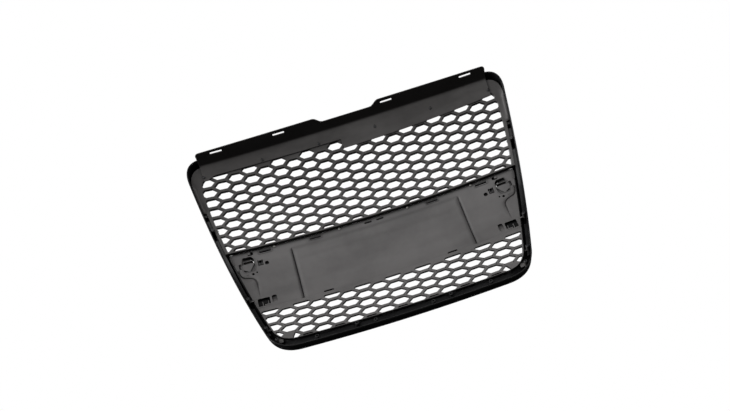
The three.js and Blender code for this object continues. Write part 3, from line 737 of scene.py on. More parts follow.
def build_upper_mesh(material):
    shell = Shell()
    region = domed_loop(
        field_x,
        lambda x: UPPER_TOP - UPPER_CROWN * x * x,
        lambda x: UPPER_BOTTOM + 0 * x,
        34, 2, (2, 2, 12, 8, 6),
    )
    wide = outline(FRAME_WALL + FIT_GAP, TOP_Z - LEDGE_UNDERSIDE + FIT_GAP)
    wide = clip_half(wide, 0, -1, -SHELF_TOP - FIT_GAP)
    zs = np.linspace(BAR_BOTTOM, SHELF_TOP + FIT_GAP, 14)
    flank = np.stack([side_x(zs) - BORDER_INSET, zs], 1)
    rim = np.concatenate([flank, wide, flank[::-1] * np.array([-1.0, 1.0])])
    holes = cells(10, UPPER_ROW_Z, (-1, 7), region)
    holes += screw_holes(rail_screw_places(), RAIL_SCREW["shank"] + 0.3)
    sheet(shell, rim, holes, on_upper, MESH_FRONT, MESH_REAR, 0.55, 12.0)
    for x, z in side_screw_places():
        if z > PANEL_TOP:
            collar(shell, x, z)
    bar = outline(BORDER_INSET)
    bar = clip_half(clip_half(bar, 0, -1, -BAR_BOTTOM), 0, 1, BAR_BOTTOM + 3.0)
    sheet(shell, bar, [], on_dome, MESH_REAR - 1.5, BAR_REAR, 0.5, 12.0)
    for sign in (1, -1):
        for x in PANEL_SCREWS_X:
            tongue = slot_loop(sign * x, PANEL_SCREW_Z, 14, 16, 2.0)
            bore = disc_loop(sign * x, PANEL_SCREW_Z, PANEL_SCREW["shank"] + 0.3, 16)
            plate(shell, tongue, PANEL_FRONT - 3, PANEL_FRONT - FIT_GAP, holes=[bore])
            root = rectangle(sign * x - 7, sign * x + 7, BAR_BOTTOM, BAR_BOTTOM + 3.2)
            plate(shell, root, PANEL_FRONT - 3, 0.0)
    obj = shell.build("upper_honeycomb", material)
    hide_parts("upper_mesh")


# --- Lower insert


def clip_slots():
    return [slot_loop(sign * x, z, w, h) for sign in (1, -1) for x, z, w, h in CLIP_SLOTS]


def sensor_window(sign):
    """The many-sided window behind each sensor station."""
    half = np.array([
        (-14, -20), (11, -19), (15, -8), (14, 12), (8, 19), (-12, 19), (-16, 8), (-17, -6),
    ], float)
    loop = np.array([sign * SENSOR_X, SENSOR_Z - 3]) + half * np.array([-sign, 1.0])
    return rounded(anticlockwise(loop), 2.5)


def u_cut(x, z, width, height, line):
    """A U-shaped cut that frees a snap tongue."""
    w, h = width / 2, height / 2
    corners = np.array([
        (-w, h), (-w, -h), (w, -h), (w, h), (w - line, h),
        (w - line, line - h), (line - w, line - h), (line - w, h),
    ])
    return rounded(corners, 1.3) + np.array([x, z])


def panel_holes():
    holes = clip_slots()
    for sign in (1, -1):
        holes += [disc_loop(sign * x, z, radius, steps) for x, z, radius, steps in ROUND_HOLES]
        holes.append(u_cut(sign * 288.0, 28.5, 12.5, 15.0, 2.5))
        holes.append(u_cut(sign * 335.6, 29.0, 6.4, 13.0, 2.2))
        holes.append(slot_loop(sign * 306.5, 57.0, 13.5, 8.5, 4.0))
        holes.append(sensor_window(sign))
        holes.append(slot_loop(sign * 299.0, -78.0, 28, 21, 2.0))
        pocket = rounded(rectangle(-5.8, 5.8, -10.5, 10.5), 5.0, 5)
        holes.append(pocket + np.array([sign * POCKET_X, POCKET_Z]))
    return holes


def s_line(sign):
    """The edge of the outer triangle: down beside the sensor, then straight to the corner."""
    upper = bezier((342, 20), (342, -2), (327, -4.5), 8)
    lower = bezier((327, -4.5), (306, -8), (306, -22), 7)[1:]
    line = np.concatenate([upper, lower, [(306.0, PANEL_FOOT)]])
    return line * np.array([sign, 1.0])


def centre_step(x, z):
    """Signed distance inside the sunk middle of the panel."""
    qx = np.abs(x) - (CENTRE_HALF - STEP_CORNER)
    qz = z - (CENTRE_TOP - STEP_CORNER)
    corner = np.hypot(np.maximum(qx, 0), np.maximum(qz, 0)) - STEP_CORNER
    return -np.where((qx > 0) | (qz > 0), corner, np.maximum(qx, qz) - STEP_CORNER)


def outer_step(x, z):
    """Signed distance from the S-shaped line, positive on the side of the middle."""
    line = s_line(1.0)
    points = np.stack([np.abs(x), z], 1)
    far = distance_to(points, line, closed=False)
    region = np.concatenate([line, [(200.0, PANEL_FOOT), (200.0, 27.0)]])
    return np.where(inside(points, region), far, -far)


def ridge(d):
    """The profile of a soft groove along the line d = 0."""
    return np.exp(-(d / RIDGE_HALF) ** 2)


def panel_level(x, z):
    """Height of the panel's steps and grooves over its plain sheet."""
    x, z = np.asarray(x, float), np.asarray(z, float)
    fade = smooth((CENTRE_TOP - z) / 12)
    within = centre_step(x, z)
    sunk = CENTRE_STEP * smooth(within / STEP_WIDE) * fade
    sunk = sunk + FOOT_GROOVE * ridge(within - STEP_WIDE) * fade
    ends = smooth((z - PANEL_FOOT) / 14) * smooth((22 - z) / 10)
    aside = outer_step(x, z)
    sunk = sunk + GROOVE * ridge(aside) * ends - OUTER_RISE * smooth(-aside / 2) * ends
    return -sunk


def on_panel(x, z, w):
    return np.stack([x, dome(x, z) + w + panel_level(x, z), z], 1)


def panel_lines():
    lines = []
    for inner in (0.0, 0.5, 1.0, 1.5, 2.3, 3.4):
        half = CENTRE_HALF - inner
        top = CENTRE_TOP - inner
        radius = STEP_CORNER - inner
        arc = bezier((half, top - radius), (half, top), (half - radius, top), 5)
        right = np.concatenate([[(half, -95.0)], [(half, z) for z in range(-84, 36, 12)], arc])
        lines.append(right)
        lines.append(right * np.array([-1.0, 1.0]))
    for sign in (1.0, -1.0):
        base = s_line(sign)
        for aside in (-2.2, -1.1, 0.0, 1.1, 2.2):
            lines.append(shift_line(base, aside))
    return lines


def shift_line(line, aside):
    d = np.gradient(line, axis=0)
    d = d / np.linalg.norm(d, axis=1)[:, None]
    return line + np.stack([d[:, 1], -d[:, 0]], 1) * aside


def build_lower_insert(material):
    shell = Shell()
    region = domed_loop(
        field_x,
        lambda x: LOWER_TOP + 0 * x,
        lambda x: LOWER_BOTTOM + 0 * x,
        2, 34, (2, 10, 8, 2, 2),
    )
    side = outline(LOWER_INSET, LOWER_INSET, LOWER_EDGE - BOTTOM_Z)
    mesh_outer = clip_half(side, 0, 1, LOWER_TOP + 3.0)
    holes = cells(8, LOWER_ROW_Z, (-4, -1), region)
    top_region = clip_half(clip_half(region, 0, -1, 118.2), 0, 1, -107.0)
    holes += [rounded(loop, 3.5, 4) for loop in top_row(top_region)]
    pits = [(x, z + 1.2, 1.4, 2.6) for x, z in junctions(LOWER_ROW_Z, (-5, 0), 8, region, 6.5)]
    for column in range(-7, 8, 2):
        pits += [(column * PITCH_X + aside, -108.6, 1.5, 2.6) for aside in (-10.5, 10.5)]
    pits = [pit for pit in pits if clear_of(holes, pit)]
    sheet(shell, mesh_outer, holes, on_dome, MESH_FRONT, MESH_REAR, 0.55, 12.0, (), pits)
    panel = outline(PANEL_INSET)
    panel = clip_half(clip_half(panel, 0, 1, PANEL_TOP), 0, -1, -LOWER_TOP)
    panel_screws = screw_holes(panel_screw_places(), PANEL_SCREW["shank"] + 0.3)
    sheet(
        shell, panel, panel_holes() + panel_screws, on_panel, PANEL_FRONT, PANEL_REAR,
        0.45, 9.0, panel_lines(),
    )
    for sign in (1, -1):
        panel_furniture(shell, sign)
    for x, z in side_screw_places():
        if z < PANEL_TOP:
            collar(shell, x, z)
    obj = shell.build("plate_panel_and_lower_honeycomb", material)
    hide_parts("lower_insert")


def clear_of(holes, pit):
    """Whether a pit leaves some wall between itself and every opening."""
    centre = np.array([pit[:2]])
    return min(distance_to(centre, hole)[0] for hole in holes) > 0.4 + pit[2]


def top_row(region):
    """The shortened openings under the panel."""
    found = []
    for column in range(-8, 9, 2):
        loop = clip_convex(cell(column * PITCH_X, LOWER_ROW_Z), region)
        if len(loop) > 2 and area(loop) > SMALLEST_CELL:
            found.append(tidy(loop, 0.6))
    return found


def panel_furniture(shell, sign):
    """Small raised work on the panel: slot rims, clip loops, pocket floors and ribs."""
    for x, z, width, height in ((271, 56.5, 34, 11), (147.5, 56.5, 33, 8)):
        rim(shell, slot_loop(sign * x, z, width, height, 2.0), -0.6, 0.6, 1.1)
    upright = slot_loop(sign * 350.0, 47.5, 4.5, 20, 1.5, sign * -0.22)
    rim(shell, upright, -0.6, 0.7, 1.0)
    rim(shell, sensor_window(sign), -0.4, 1.0, 1.0)
    for x, z, radius in ((309.5, 58.0, 3.6), (323.0, 5.0, 2.8)):
        plate(shell, disc_loop(sign * x, z, radius), PANEL_FRONT, PANEL_REAR + 1.2)
    for aside in (-4.0, 9.0):
        rib = slot_loop(sign * (299.0 - aside), -82.0, 1.6, 12, 0.5)
        plate(shell, rib, PANEL_FRONT - 2.0, PANEL_REAR - 1.6, 0.3)
    bar = slot_loop(sign * 292.0, -87.0, 14, 3.2, 0.8)
    plate(shell, bar, PANEL_FRONT - 2.0, PANEL_REAR + 0.5, 0.3)
    ramp(shell, sign)
    for x in (36.2, 108.6, 181.0, 253.4):
        groove = slot_loop(sign * x, -96.6, 30, 1.2, 0.5)
        plate(shell, groove, PANEL_REAR - 0.8, PANEL_REAR + 0.7, 0.25)


def ramp(shell, sign):
    """The sloping floor of the round-topped pocket."""
    def slope(x, z, w):
        deep = 5.0 * smooth((z + 86) / 16)
        return np.stack([x, dome(x, z) + w - deep, z], 1)

    loop = rounded(rectangle(-7.2, 7.2, -12.5, 12.0), 6.0, 5)
    loop = loop + np.array([sign * POCKET_X, POCKET_Z])
    sheet(shell, loop, [], slope, PANEL_REAR - 2.2, PANEL_REAR - 0.8, 0.3, 5.0)


def rim(shell, loop, inner, outer, height):
    """A raised band between two offsets of a loop."""
    loop = anticlockwise(tidy(loop))
    wide, narrow = offset(loop, outer), offset(loop, inner)
    plate(shell, wide, PANEL_REAR - 1.0, PANEL_REAR + height, 0.25, holes=[narrow])


# --- Top rail


def ledge_z(x):
    return LEDGE_UNDERSIDE - TOP_CROWN * x * x


def ledge_depth(x):
    return LEDGE_DEPTH - LEG_MIDDLE - LEDGE_TAPER * x * x


def on_rail(x, s, w):
    """x along the rail, s up the leg (negative) and along the ledge (positive)."""
    zc = ledge_z(x) + BEND_RISE
    soft = BEND_HALF

    def middle(s):
        leg_z = zc + np.minimum(s, 0) * LEG_RISE
        leg = np.stack([dome(x, leg_z) + LEG_MIDDLE, leg_z], 1)
        yc = dome(x, zc) + LEG_MIDDLE
        out = np.maximum(s, 0) / LEDGE_ALONG
        ledge = np.stack([yc + out, zc + LEDGE_RISE * out], 1)
        return np.where((s < 0)[:, None], leg, ledge)

    t = np.clip((s + soft) / (2 * soft), 0, 1)[:, None]
    a, c, b = middle(0 * s - soft), middle(0 * s), middle(0 * s + soft)
    bend = (1 - t) ** 2 * a + 2 * t * (1 - t) * c + t * t * b
    slope_in_bend = 2 * (1 - t) * (c - a) + 2 * t * (b - c)
    plain = middle(s)
    slope = middle(s + 0.5) - middle(s - 0.5)
    bent = (np.abs(s) < soft)[:, None]
    point = np.where(bent, bend, plain)
    slope = unit(np.where(bent, slope_in_bend, slope))
    y = point[:, 0] + w * slope[:, 1]
    z = point[:, 1] - w * slope[:, 0]
    return np.stack([x, y, z], 1)


def rail_edge(x):
    """Far edge of the ledge along s, with its notch."""
    full = ledge_depth(x)
    left = smooth((x - (NOTCH_LEFT - NOTCH_SHOULDER)) / NOTCH_SHOULDER)
    right = smooth(((NOTCH_RIGHT + NOTCH_SHOULDER) - x) / NOTCH_SHOULDER)
    cut = NOTCH_DEPTH * (1 - np.maximum(left, right))
    return (full - cut) * LEDGE_ALONG


def leg_place(x, z):
    """Where a height lies on the leg along s."""
    return (z - ledge_z(x) - BEND_RISE) / LEG_RISE


def leg_foot(x):
    """Lower edge of the leg along s: straight and low on the right, crowned on the left."""
    crowned = LEG_FOOT_LEFT - UPPER_CROWN * x * x - 7.0 * smooth((x - 338) / 14)
    foot = np.where(x < 16, LEG_FOOT_RIGHT, crowned)
    return leg_place(x, foot)


def rail_slot(x, from_edge):
    y = (ledge_depth(x) - from_edge) * LEDGE_ALONG
    return slot_loop(x, y, SLOT_LENGTH, SLOT_WIDTH, 1.6)


def build_top_rail(material):
    shell = Shell()
    half = LEDGE_HALF
    x = np.concatenate([np.linspace(-half, 14, 44), [15.5], np.linspace(17.5, half, 30)])
    foot = np.stack([x, leg_foot(x)], 1)
    xs = np.linspace(half - LEDGE_CORNER, -half + LEDGE_CORNER, 121)
    far = np.stack([xs, rail_edge(xs)], 1)
    edge = rail_edge(np.array([half]))[0]
    right = bezier((half, edge - LEDGE_CORNER), (half, edge), tuple(far[0]), 7)[:-1]
    left = bezier(tuple(far[-1]), (-half, edge), (-half, edge - LEDGE_CORNER), 7)[1:]
    sides = np.linspace(leg_foot(np.array([half]))[0] + 6, edge - LEDGE_CORNER - 5, 8)
    up = np.stack([np.full(8, half), sides], 1)
    down = np.stack([np.full(8, -half), sides[::-1]], 1)
    outer = np.concatenate([foot, up, right, far, left, down])
    holes = [rail_slot(x, e) for x, e in SLOTS]
    holes += [disc_loop(x, leg_place(x, z), 1.8, 16) for x, z in rail_screw_places()]
    bends = [np.array([(x, s) for x in np.linspace(-half + 3, half - 3, 61)])
             for s in (-4.0, -2.0, 0.0, 2.0, 4.0)]
    sheet(shell, outer, holes, on_rail, -RAIL_HALF_THICK, RAIL_HALF_THICK, 0.5, 9.0, bends)
    for x, from_edge in SLOTS:
        hole = rail_slot(x, from_edge)
        s = (ledge_depth(x) - from_edge) * LEDGE_ALONG
        pad = slot_loop(x, s - 3.5, 44, 22.5, 1.5)
        sheet(shell, pad, [hole], on_rail, -RAIL_HALF_THICK - 1.2, -RAIL_HALF_THICK + 0.4, 0.4, 9.0)
    for x in GUSSETS_X:
        gusset(shell, x)
    obj = shell.build("slotted_top_rail", material)
    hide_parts("top_rail")


def gusset(shell, x):
    """A small triangular rib in the outer corner between leg and ledge."""
    zc = ledge_z(x) + BEND_RISE
    y0 = dome(x, zc) + LEG_MIDDLE

    def upright(u, v, w):
        return np.stack([x + w, y0 + u, zc + v], 1)

    loop = np.array([(0.5, 1.0), (13.0, 4.4), (0.5, 4.6)])
    loop = rounded(loop, 0.8)
    sheet(shell, loop, [], upright, -0.7, 0.7, 0.25)


# --- Number-plate cover


def build_plate_cover(material):
    shell = Shell()
    skin = domed_loop(
        lambda z: side_x(z) - COVER_INSET,
        lambda x: COVER_TOP + 0 * x,
        lambda x: COVER_BOTTOM + 0 * x,
        8, 8, (24, 6, 16, 6, 24),
    )
    bores = [disc_loop(s * SENSOR_X, SENSOR_Z, SENSOR_BORE + 0.4, 32) for s in (1, -1)]
    sheet(shell, skin, bores, on_dome, COVER_FRONT, COVER_FRONT + 2.5, 1.0, 14.0)
    seat = slot_loop(0, SEAT_Z, 2 * SEAT_HALF_W, 2 * SEAT_HALF_H, 6.0)

    def block(x, z, w):
        depth = dome(x, z) + COVER_FRONT + 1.5 - SEAT_Y
        y = np.where(w < 2, w, 2 + (w - 2) / 8 * (depth - 2))
        return np.stack([x, SEAT_Y + y, z], 1)

    sheet(shell, seat, [], block, 0.0, 10.0, 1.4, 22.0)
    band = offset(skin, -2.0)
    plate(shell, skin, COVER_FRONT + 2.0, PANEL_FRONT - FIT_GAP, 0.3, holes=[band])
    for loop in clip_slots():
        hook = clip_half(offset(anticlockwise(loop), -0.8), 0, -1, -loop[:, 1].mean())
        plate(shell, hook, COVER_FRONT + 2.0, PANEL_REAR + 1.0, 0.3)
    obj = shell.build("number_plate_cover", material)
    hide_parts("plate_cover")


# --- Sensor stations


def rim_band(shell, loop):
    """A low raised lip round a socket."""
    wide, narrow = offset(loop, 1.6), offset(loop, 0.2)
    plate(shell, wide, HOLDER_REAR - 0.8, HOLDER_REAR + 0.8, 0.25, holes=[narrow])


def build_sensor_station(side, sign, holder_material, cap_material):
    shell = Shell()
    centre = np.array([sign * SENSOR_X, SENSOR_Z])
    backing = rounded(rectangle(-19, 19, -25, 18), 3.0, 4) + centre
    socket = rounded(rectangle(-13, 12, 0, 15), 3.0, 4) + centre
    plate(shell, backing, HOLDER_FRONT, HOLDER_REAR, holes=[socket])
    rim_band(shell, socket)
    for x, z, width, height in SENSOR_RIBS:
        rib = slot_loop(centre[0] + x, SENSOR_Z + z, width, height, 0.6)
        plate(shell, rib, HOLDER_FRONT, HOLDER_REAR + 2.0, 0.3)
    holder = shell.build(f"sensor_clip_frame_{side}", holder_material)
    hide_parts(f"sensor_holder_{side}")
    shell = Shell()
    r = SENSOR_BORE + 0.32
    profile = [(0.0, CAP_FRONT), (r - 2.0, CAP_FRONT), (r - 0.6, CAP_FRONT + 0.3), (r, -13.0)]
    profile += [(r, CAP_REAR - 0.4), (r - 0.4, CAP_REAR), (r - 2.0, CAP_REAR)]
    profile += [(r - 2.4, CAP_REAR - 1.0), (2.0, CAP_REAR - 1.0), (0.0, CAP_REAR - 1.1)]
    lathe(shell, profile, 48, standing(sign * SENSOR_X, SENSOR_Z, 0.0))
    cap = shell.build(f"sensor_blank_{side}", cap_material)
    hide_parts(f"sensor_cap_{side}")


# --- Screws


def side_screw_places():
    places = [(side_x(z) - SIDE_INSET, z) for z in SIDE_HEIGHTS] + [CORNER_SCREW]
    return [(s * x, z) for x, z in places for s in (1, -1)]


def panel_screw_places():
    return [(s * x, PANEL_SCREW_Z) for x in PANEL_SCREWS_X for s in (1, -1)]


def rail_screw_places():
    return [(s * x, z) for x, z in RAIL_SCREWS for s in (1, -1)]


def build_screw(name, node, kind, x, z, seat, material):
    shell = Shell()
    head, high, shank, length = kind["head"], kind["height"], kind["shank"], kind["length"]
    place = standing(x, z, seat)
    profile = [(0.0, -length), (shank * 0.55, -length + 1.2), (shank, -length + 2.4)]
    pitch, root = shank * 0.5, shank * 0.84
    turns = int((length - 3.6) / pitch)
    for k in range(turns):
        h = -length + 2.4 + k * pitch
        profile += [(root, h + pitch * 0.3), (root, h + pitch * 0.6), (shank, h + pitch)]
    profile += [(shank, 0.0), (head - 0.25, 0.0), (head, 0.25), (head, high * 0.35)]
    for k in range(1, 6):
        angle = math.radians(90 * k / 5 * 0.8)
        radius = head * 0.62 + head * 0.38 * math.cos(angle)
        profile.append((radius, high * (0.35 + 0.6 * math.sin(angle))))
    rim_radius, rim_height = profile[-1]
    lathe(shell, profile, 28, place)
    star_socket(shell, place, rim_radius, rim_height, kind["socket"], high)
    obj = shell.build(name, material)
    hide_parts(node)


def star_socket(shell, place, rim_radius, rim_height, radius, high):
    """The flat top of the head with a six-lobed socket."""
    steps = 48
    t = np.linspace(0, 2 * math.pi, steps, endpoint=False)
    spokes = np.stack([np.cos(t), 0 * t, np.sin(t)], 1)
    up = np.array([0.0, 1.0, 0.0])
    lobes = radius * 1.25 * (1 + 0.14 * np.cos(6 * t))
    rows = []
    levels = [
        (np.full(steps, rim_radius), rim_height, up + spokes * 0.25),
        (lobes, high, up + 0 * spokes),
        (lobes, high, -spokes),
        (lobes * 0.92, high * 0.35, -spokes),
        (lobes * 0.92, high * 0.35, up + 0 * spokes),
    ]
    for r, h, n in levels:
        points = spokes * r[:, None] + up * h
        rows.append(shell.add(*place(points, n)))
    shell.bridge(rows[1], rows[0])
    shell.bridge(rows[3], rows[2])
    shell.faces.append(tuple(rows[4][::-1]))


# --- Materials. Every one is procedural and uses object coordinates, in metres.


class Nodes:
    """A short way to write node trees."""

    def __init__(self, name):
        self.material = bpy.data.materials.new(name)
        self.material.use_nodes = True
        self.tree = self.material.node_tree
        self.tree.nodes.clear()
        self.where = self.new("ShaderNodeTexCoord").outputs["Object"]

    def new(self, kind, **values):
        node = self.tree.nodes.new(kind)
        for key, value in values.items():
            setattr(node, key, value)
        return node

    def surface(self):
        """The main shader, linked to the material's output."""
        shader = self.new("ShaderNodeBsdfPrincipled")
        output = self.new("ShaderNodeOutputMaterial")
        self.link(shader.outputs["BSDF"], output.inputs["Surface"])
        return shader

    def link(self, source, target):
        self.tree.links.new(source, target)

    def noise(self, scale, detail=3.0, rough=0.55, stretch=None):
        node = self.new("ShaderNodeTexNoise")
        node.inputs["Scale"].default_value = scale
        node.inputs["Detail"].default_value = detail
        node.inputs["Roughness"].default_value = rough
        where = self.where
        if stretch:
            mapping = self.new("ShaderNodeMapping")
            mapping.inputs["Scale"].default_value = stretch
            self.link(where, mapping.inputs["Vector"])
            where = mapping.outputs["Vector"]
        self.link(where, node.inputs["Vector"])
        return node.outputs["Fac"]

    def spread(self, value, low, high, to_low=0.0, to_high=1.0):
        node = self.new("ShaderNodeMapRange")
        node.clamp = True
        self.link(value, node.inputs["Value"])
        node.inputs["From Min"].default_value = low
        node.inputs["From Max"].default_value = high
        node.inputs["To Min"].default_value = to_low
        node.inputs["To Max"].default_value = to_high
        return node.outputs["Result"]

    def maths(self, operation, a, b):
        node = self.new("ShaderNodeMath", operation=operation)
        for socket, value in zip(node.inputs, (a, b)):
            if isinstance(value, (int, float)):
                socket.default_value = value
            else:
                self.link(value, socket)
        return node.outputs[0]

    def mix(self, share, a, b):
        node = self.new("ShaderNodeMix", data_type="RGBA")
        self.link(share, node.inputs["Factor"])
        for socket, value in ((node.inputs[6], a), (node.inputs[7], b)):
            if isinstance(value, tuple):
                socket.default_value = (*value, 1.0)
            else:
                self.link(value, socket)
        return node.outputs[2]

    def bump(self, height, strength, distance, before=None):
        node = self.new("ShaderNodeBump")
        node.inputs["Strength"].default_value = strength
        node.inputs["Distance"].default_value = distance
        self.link(height, node.inputs["Height"])
        if before is not None:
            self.link(before, node.inputs["Normal"])
        return node.outputs["Normal"]


def moulded(name, colour, worn, rough, grain, grain_depth,
            coat=0.0, flow=0.3, dust=0.25, sheen=0.5):
    """Injection-moulded plastic: fine grain, faint flow marks, rubbed edges and settled dust, with
    painted shade: hollows and downward-facing undersides are darkened and lose specular."""
    n = Nodes(name)
    shader = n.surface()
    broad = n.noise(9.0, 4.0, 0.6)
    flows = n.noise(26.0, 3.0, 0.5, (0.35, 1.0, 1.6))
    fine = n.noise(grain, 2.0, 0.6)
    specks = n.noise(900.0, 1.0, 0.5)
    darker = tuple(c * 0.72 for c in colour)
    base = n.mix(n.spread(broad, 0.35, 0.65), darker, colour)
    base = n.mix(n.spread(flows, 0.45, 0.75, 0.0, flow), base, worn)
    base = n.mix(n.spread(specks, 0.72, 0.8, 0.0, 0.35), base, worn)
    geometry = n.new("ShaderNodeNewGeometry")
    edges = n.spread(geometry.outputs["Pointiness"], 0.53, 0.62, 0.0, 0.7)
    edges = n.maths("MULTIPLY", edges, n.spread(n.noise(60.0, 2.0), 0.4, 0.6, 0.2, 1.0))
    base = n.mix(edges, base, worn)
    split = n.new("ShaderNodeSeparateXYZ")
    n.link(geometry.outputs["Normal"], split.inputs["Vector"])
    upward = n.spread(split.outputs["Z"], 0.1, 0.95, 0.0, dust)
    settled = n.maths("MULTIPLY", upward, n.spread(n.noise(140.0, 4.0, 0.7), 0.35, 0.65))
    base = n.mix(settled, base, DUST)
    # Painted shade: an ambient-occlusion mask that darkens hollows, creases and recesses.
    painted_shade_occlusion = n.new("ShaderNodeAmbientOcclusion", samples=4)
    painted_shade_occlusion.inputs["Distance"].default_value = 0.010
    deep = n.spread(painted_shade_occlusion.outputs["AO"], 0.3, 0.85, 0.95, 0.0)
    # Painted shade: surfaces that face downwards are darkened as well.
    under = n.spread(split.outputs["Z"], -0.95, -0.6, 0.7, 0.0)
    deep = n.maths("MAXIMUM", deep, under)
    # The painted shade mask (deep) takes the colour towards a near-black copy of itself.
    base = n.mix(deep, base, tuple(c * 0.12 for c in colour))
    n.link(base, shader.inputs["Base Color"])
    # Specular is also lowered where the painted shade lies.
    n.link(n.spread(deep, 0.0, 0.85, sheen, sheen * 0.15), shader.inputs["Specular IOR Level"])
    varied = n.spread(flows, 0.3, 0.7, rough - 0.06, rough + 0.07)
    varied = n.maths("ADD", varied, n.maths("MULTIPLY", settled, 0.3))
    n.link(varied, shader.inputs["Roughness"])
    shader.inputs["Coat Weight"].default_value = coat
    shader.inputs["Coat Roughness"].default_value = 0.06
    wave = n.bump(n.noise(34.0, 2.0), 0.25, 0.0006)
    n.link(n.bump(fine, 0.8, grain_depth, wave), shader.inputs["Normal"])
    return n.material


def plated_steel(name, stained, clean, rubbed):
    """Screw steel under a thin finish, with stains, a fine noise bump and rubbed edges."""
    n = Nodes(name)
    shader = n.surface()
    stain = n.spread(n.noise(420.0, 4.0, 0.65), 0.35, 0.65)
    base = n.mix(stain, stained, clean)
    geometry = n.new("ShaderNodeNewGeometry")
    edges = n.spread(geometry.outputs["Pointiness"], 0.52, 0.6, 0.0, 0.8)
    base = n.mix(edges, base, rubbed)
    n.link(base, shader.inputs["Base Color"])
    shader.inputs["Metallic"].default_value = 0.85
    n.link(n.spread(stain, 0.0, 1.0, 0.32, 0.55), shader.inputs["Roughness"])
    n.link(n.bump(n.noise(2400.0, 2.0), 0.5, 0.00003), shader.inputs["Normal"])
    return n.material


def build_all():
    gloss = moulded("gloss_black_moulding", (0.009, 0.009, 0.010), (0.06, 0.06, 0.062),
                    0.30, 500.0, 0.00001, coat=0.15, flow=0.1, dust=0.12, sheen=0.28)
    satin = moulded("satin_black_moulding", (0.078, 0.073, 0.0715), (0.125, 0.120, 0.118),
                    0.42, 1500.0, 0.00004, flow=0.35)
    matt = moulded("matt_black_moulding", (0.145, 0.139, 0.138), (0.20, 0.195, 0.193),
                   0.5, 1800.0, 0.00004, flow=0.2)
    zinc = plated_steel(
        "zinc_plated_steel", (0.17, 0.165, 0.15), (0.34, 0.335, 0.32), (0.6, 0.59, 0.57))
    black = plated_steel(
        "black_oxide_steel", (0.03, 0.03, 0.032), (0.07, 0.07, 0.073), (0.22, 0.22, 0.22))
    build_surround(gloss)
    build_upper_mesh(satin)
    build_lower_insert(matt)
    build_top_rail(satin)
    build_plate_cover(gloss)
    for side, sign in (("left", 1), ("right", -1)):
        build_sensor_station(side, sign, matt, satin)
    groups = [
        ("side_screw", SIDE_SCREW, side_screw_places(), COLLAR_REAR + 0.3, black, "black_steel"),
        ("panel_screw", PANEL_SCREW, panel_screw_places(), PANEL_REAR + 0.3, zinc, "zinc_steel"),
        ("rail_screw", RAIL_SCREW, rail_screw_places(), 7.3, black, "black_steel"),
    ]
    for prefix, kind, places, seat, steel, slot in groups:
        for k, (x, z) in enumerate(places, 1):
            build_screw(f"{prefix}_turned_{k}", f"{prefix}_{k}", kind, x, z, seat, steel)


# --- Studio


def build_floor():
    mesh = bpy.data.meshes.new("studio_floor")
    shape = bmesh.new()
    bmesh.ops.create_grid(shape, x_segments=8, y_segments=8, size=14.0)
    shape.to_mesh(mesh)
    shape.free()
    floor = bpy.data.objects.new("studio_floor", mesh)
    floor.location = (0.0, 0.0, -1.35)
    bpy.context.scene.collection.objects.link(floor)
    n = Nodes("studio_floor_paint")
    shader = n.surface()
    paint = n.mix(n.spread(n.noise(3.0), 0.3, 0.7), (0.78, 0.78, 0.78), (0.82, 0.82, 0.82))
    seen = n.new("ShaderNodeLightPath").outputs["Is Camera Ray"]
    n.link(n.mix(seen, (0.06, 0.06, 0.06), paint), shader.inputs["Base Color"])
    shader.inputs["Roughness"].default_value = 0.85
    mesh.materials.append(n.material)


# Name, place and aim in metres, size in metres, power in watts.
STUDIO_LIGHTS = [
    ("left", (2.6, 1.6, 0.9), (0, 0.1, 0.0), (1.6, 1.6), 54.0),
    ("right", (-2.6, 1.4, 0.9), (0, 0.1, 0.0), (1.8, 1.8), 15.0),
    ("rear", (0.5, 3.2, 1.0), (0, 0.1, 0.0), (2.4, 1.6), 34.0),
    ("low", (0.6, 2.4, -1.1), (0, 0.1, 0.0), (1.6, 1.0), 3.0),
    ("front", (0.6, -2.4, 1.8), (0, 0, 0), (2.4, 2.4), 30.0),
]


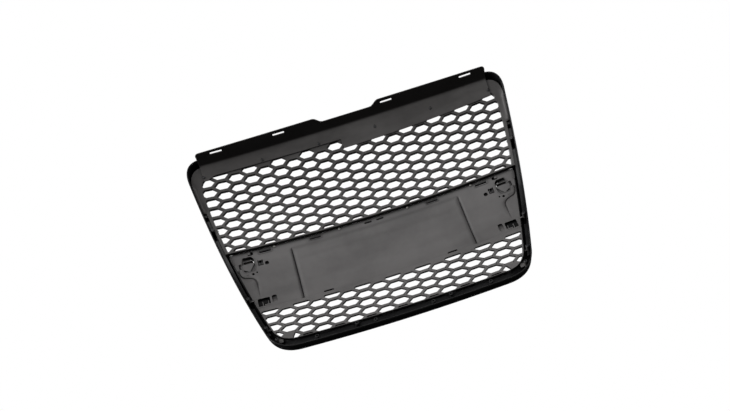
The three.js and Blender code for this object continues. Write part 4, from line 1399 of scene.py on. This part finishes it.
def area_light(name, place, aim, size, power):
    data = bpy.data.lights.new(name, "AREA")
    data.shape = "RECTANGLE"
    data.size, data.size_y = size
    data.energy = power
    light = bpy.data.objects.new(name, data)
    light.location = place
    light.rotation_mode = "QUATERNION"
    light.rotation_quaternion = (Vector(aim) - Vector(place)).to_track_quat("-Z", "Y")
    bpy.context.scene.collection.objects.link(light)


def build_world():
    """White to the camera; for lighting it is brighter above than below."""
    world = bpy.data.worlds.new("studio_world")
    bpy.context.scene.world = world
    world.use_nodes = True
    tree = world.node_tree
    tree.nodes.clear()
    new, link = tree.nodes.new, tree.links.new
    kinds = ("OutputWorld", "Background", "Background", "MixShader", "LightPath")
    output, seen, lit, mixer, path = (new("ShaderNode" + kind) for kind in kinds)
    kinds = ("TexCoord", "SeparateXYZ", "MapRange")
    where, split, ramp = (new("ShaderNode" + kind) for kind in kinds)
    link(where.outputs["Generated"], split.inputs["Vector"])
    link(split.outputs["Z"], ramp.inputs["Value"])
    ramp.inputs["From Min"].default_value = -0.1
    ramp.inputs["To Min"].default_value = 0.0
    ramp.inputs["To Max"].default_value = 0.28
    link(ramp.outputs["Result"], lit.inputs["Strength"])
    seen.inputs["Color"].default_value = (1.0, 1.0, 1.0, 1.0)
    link(path.outputs["Is Camera Ray"], mixer.inputs["Fac"])
    link(lit.outputs["Background"], mixer.inputs[1])
    link(seen.outputs["Background"], mixer.inputs[2])
    link(mixer.outputs["Shader"], output.inputs["Surface"])


def build_camera():
    """Behind and below the grille, rolled, as the grille is shown."""
    data = bpy.data.cameras.new("main_camera")
    data.sensor_width = 36.0
    data.lens = CAMERA_LENS
    data.clip_start, data.clip_end = 0.05, 60.0
    camera = bpy.data.objects.new("main_camera", data)
    place = np.array(CAMERA_PLACE) - np.array([0, SEAT_Y, SEAT_Z])
    forward = Vector(CAMERA_AIM).normalized()
    camera.location = place * MM
    camera.rotation_mode = "QUATERNION"
    level = forward.to_track_quat("-Z", "Y")
    roll = Matrix.Rotation(math.radians(CAMERA_ROLL), 3, "Z").to_quaternion()
    camera.rotation_quaternion = level @ roll
    bpy.context.scene.collection.objects.link(camera)
    bpy.context.scene.camera = camera


bpy.context.scene.view_settings.view_transform = "Standard"
build_all()
build_floor()
build_world()
for lamp in STUDIO_LIGHTS:
    area_light(*lamp)
build_camera()
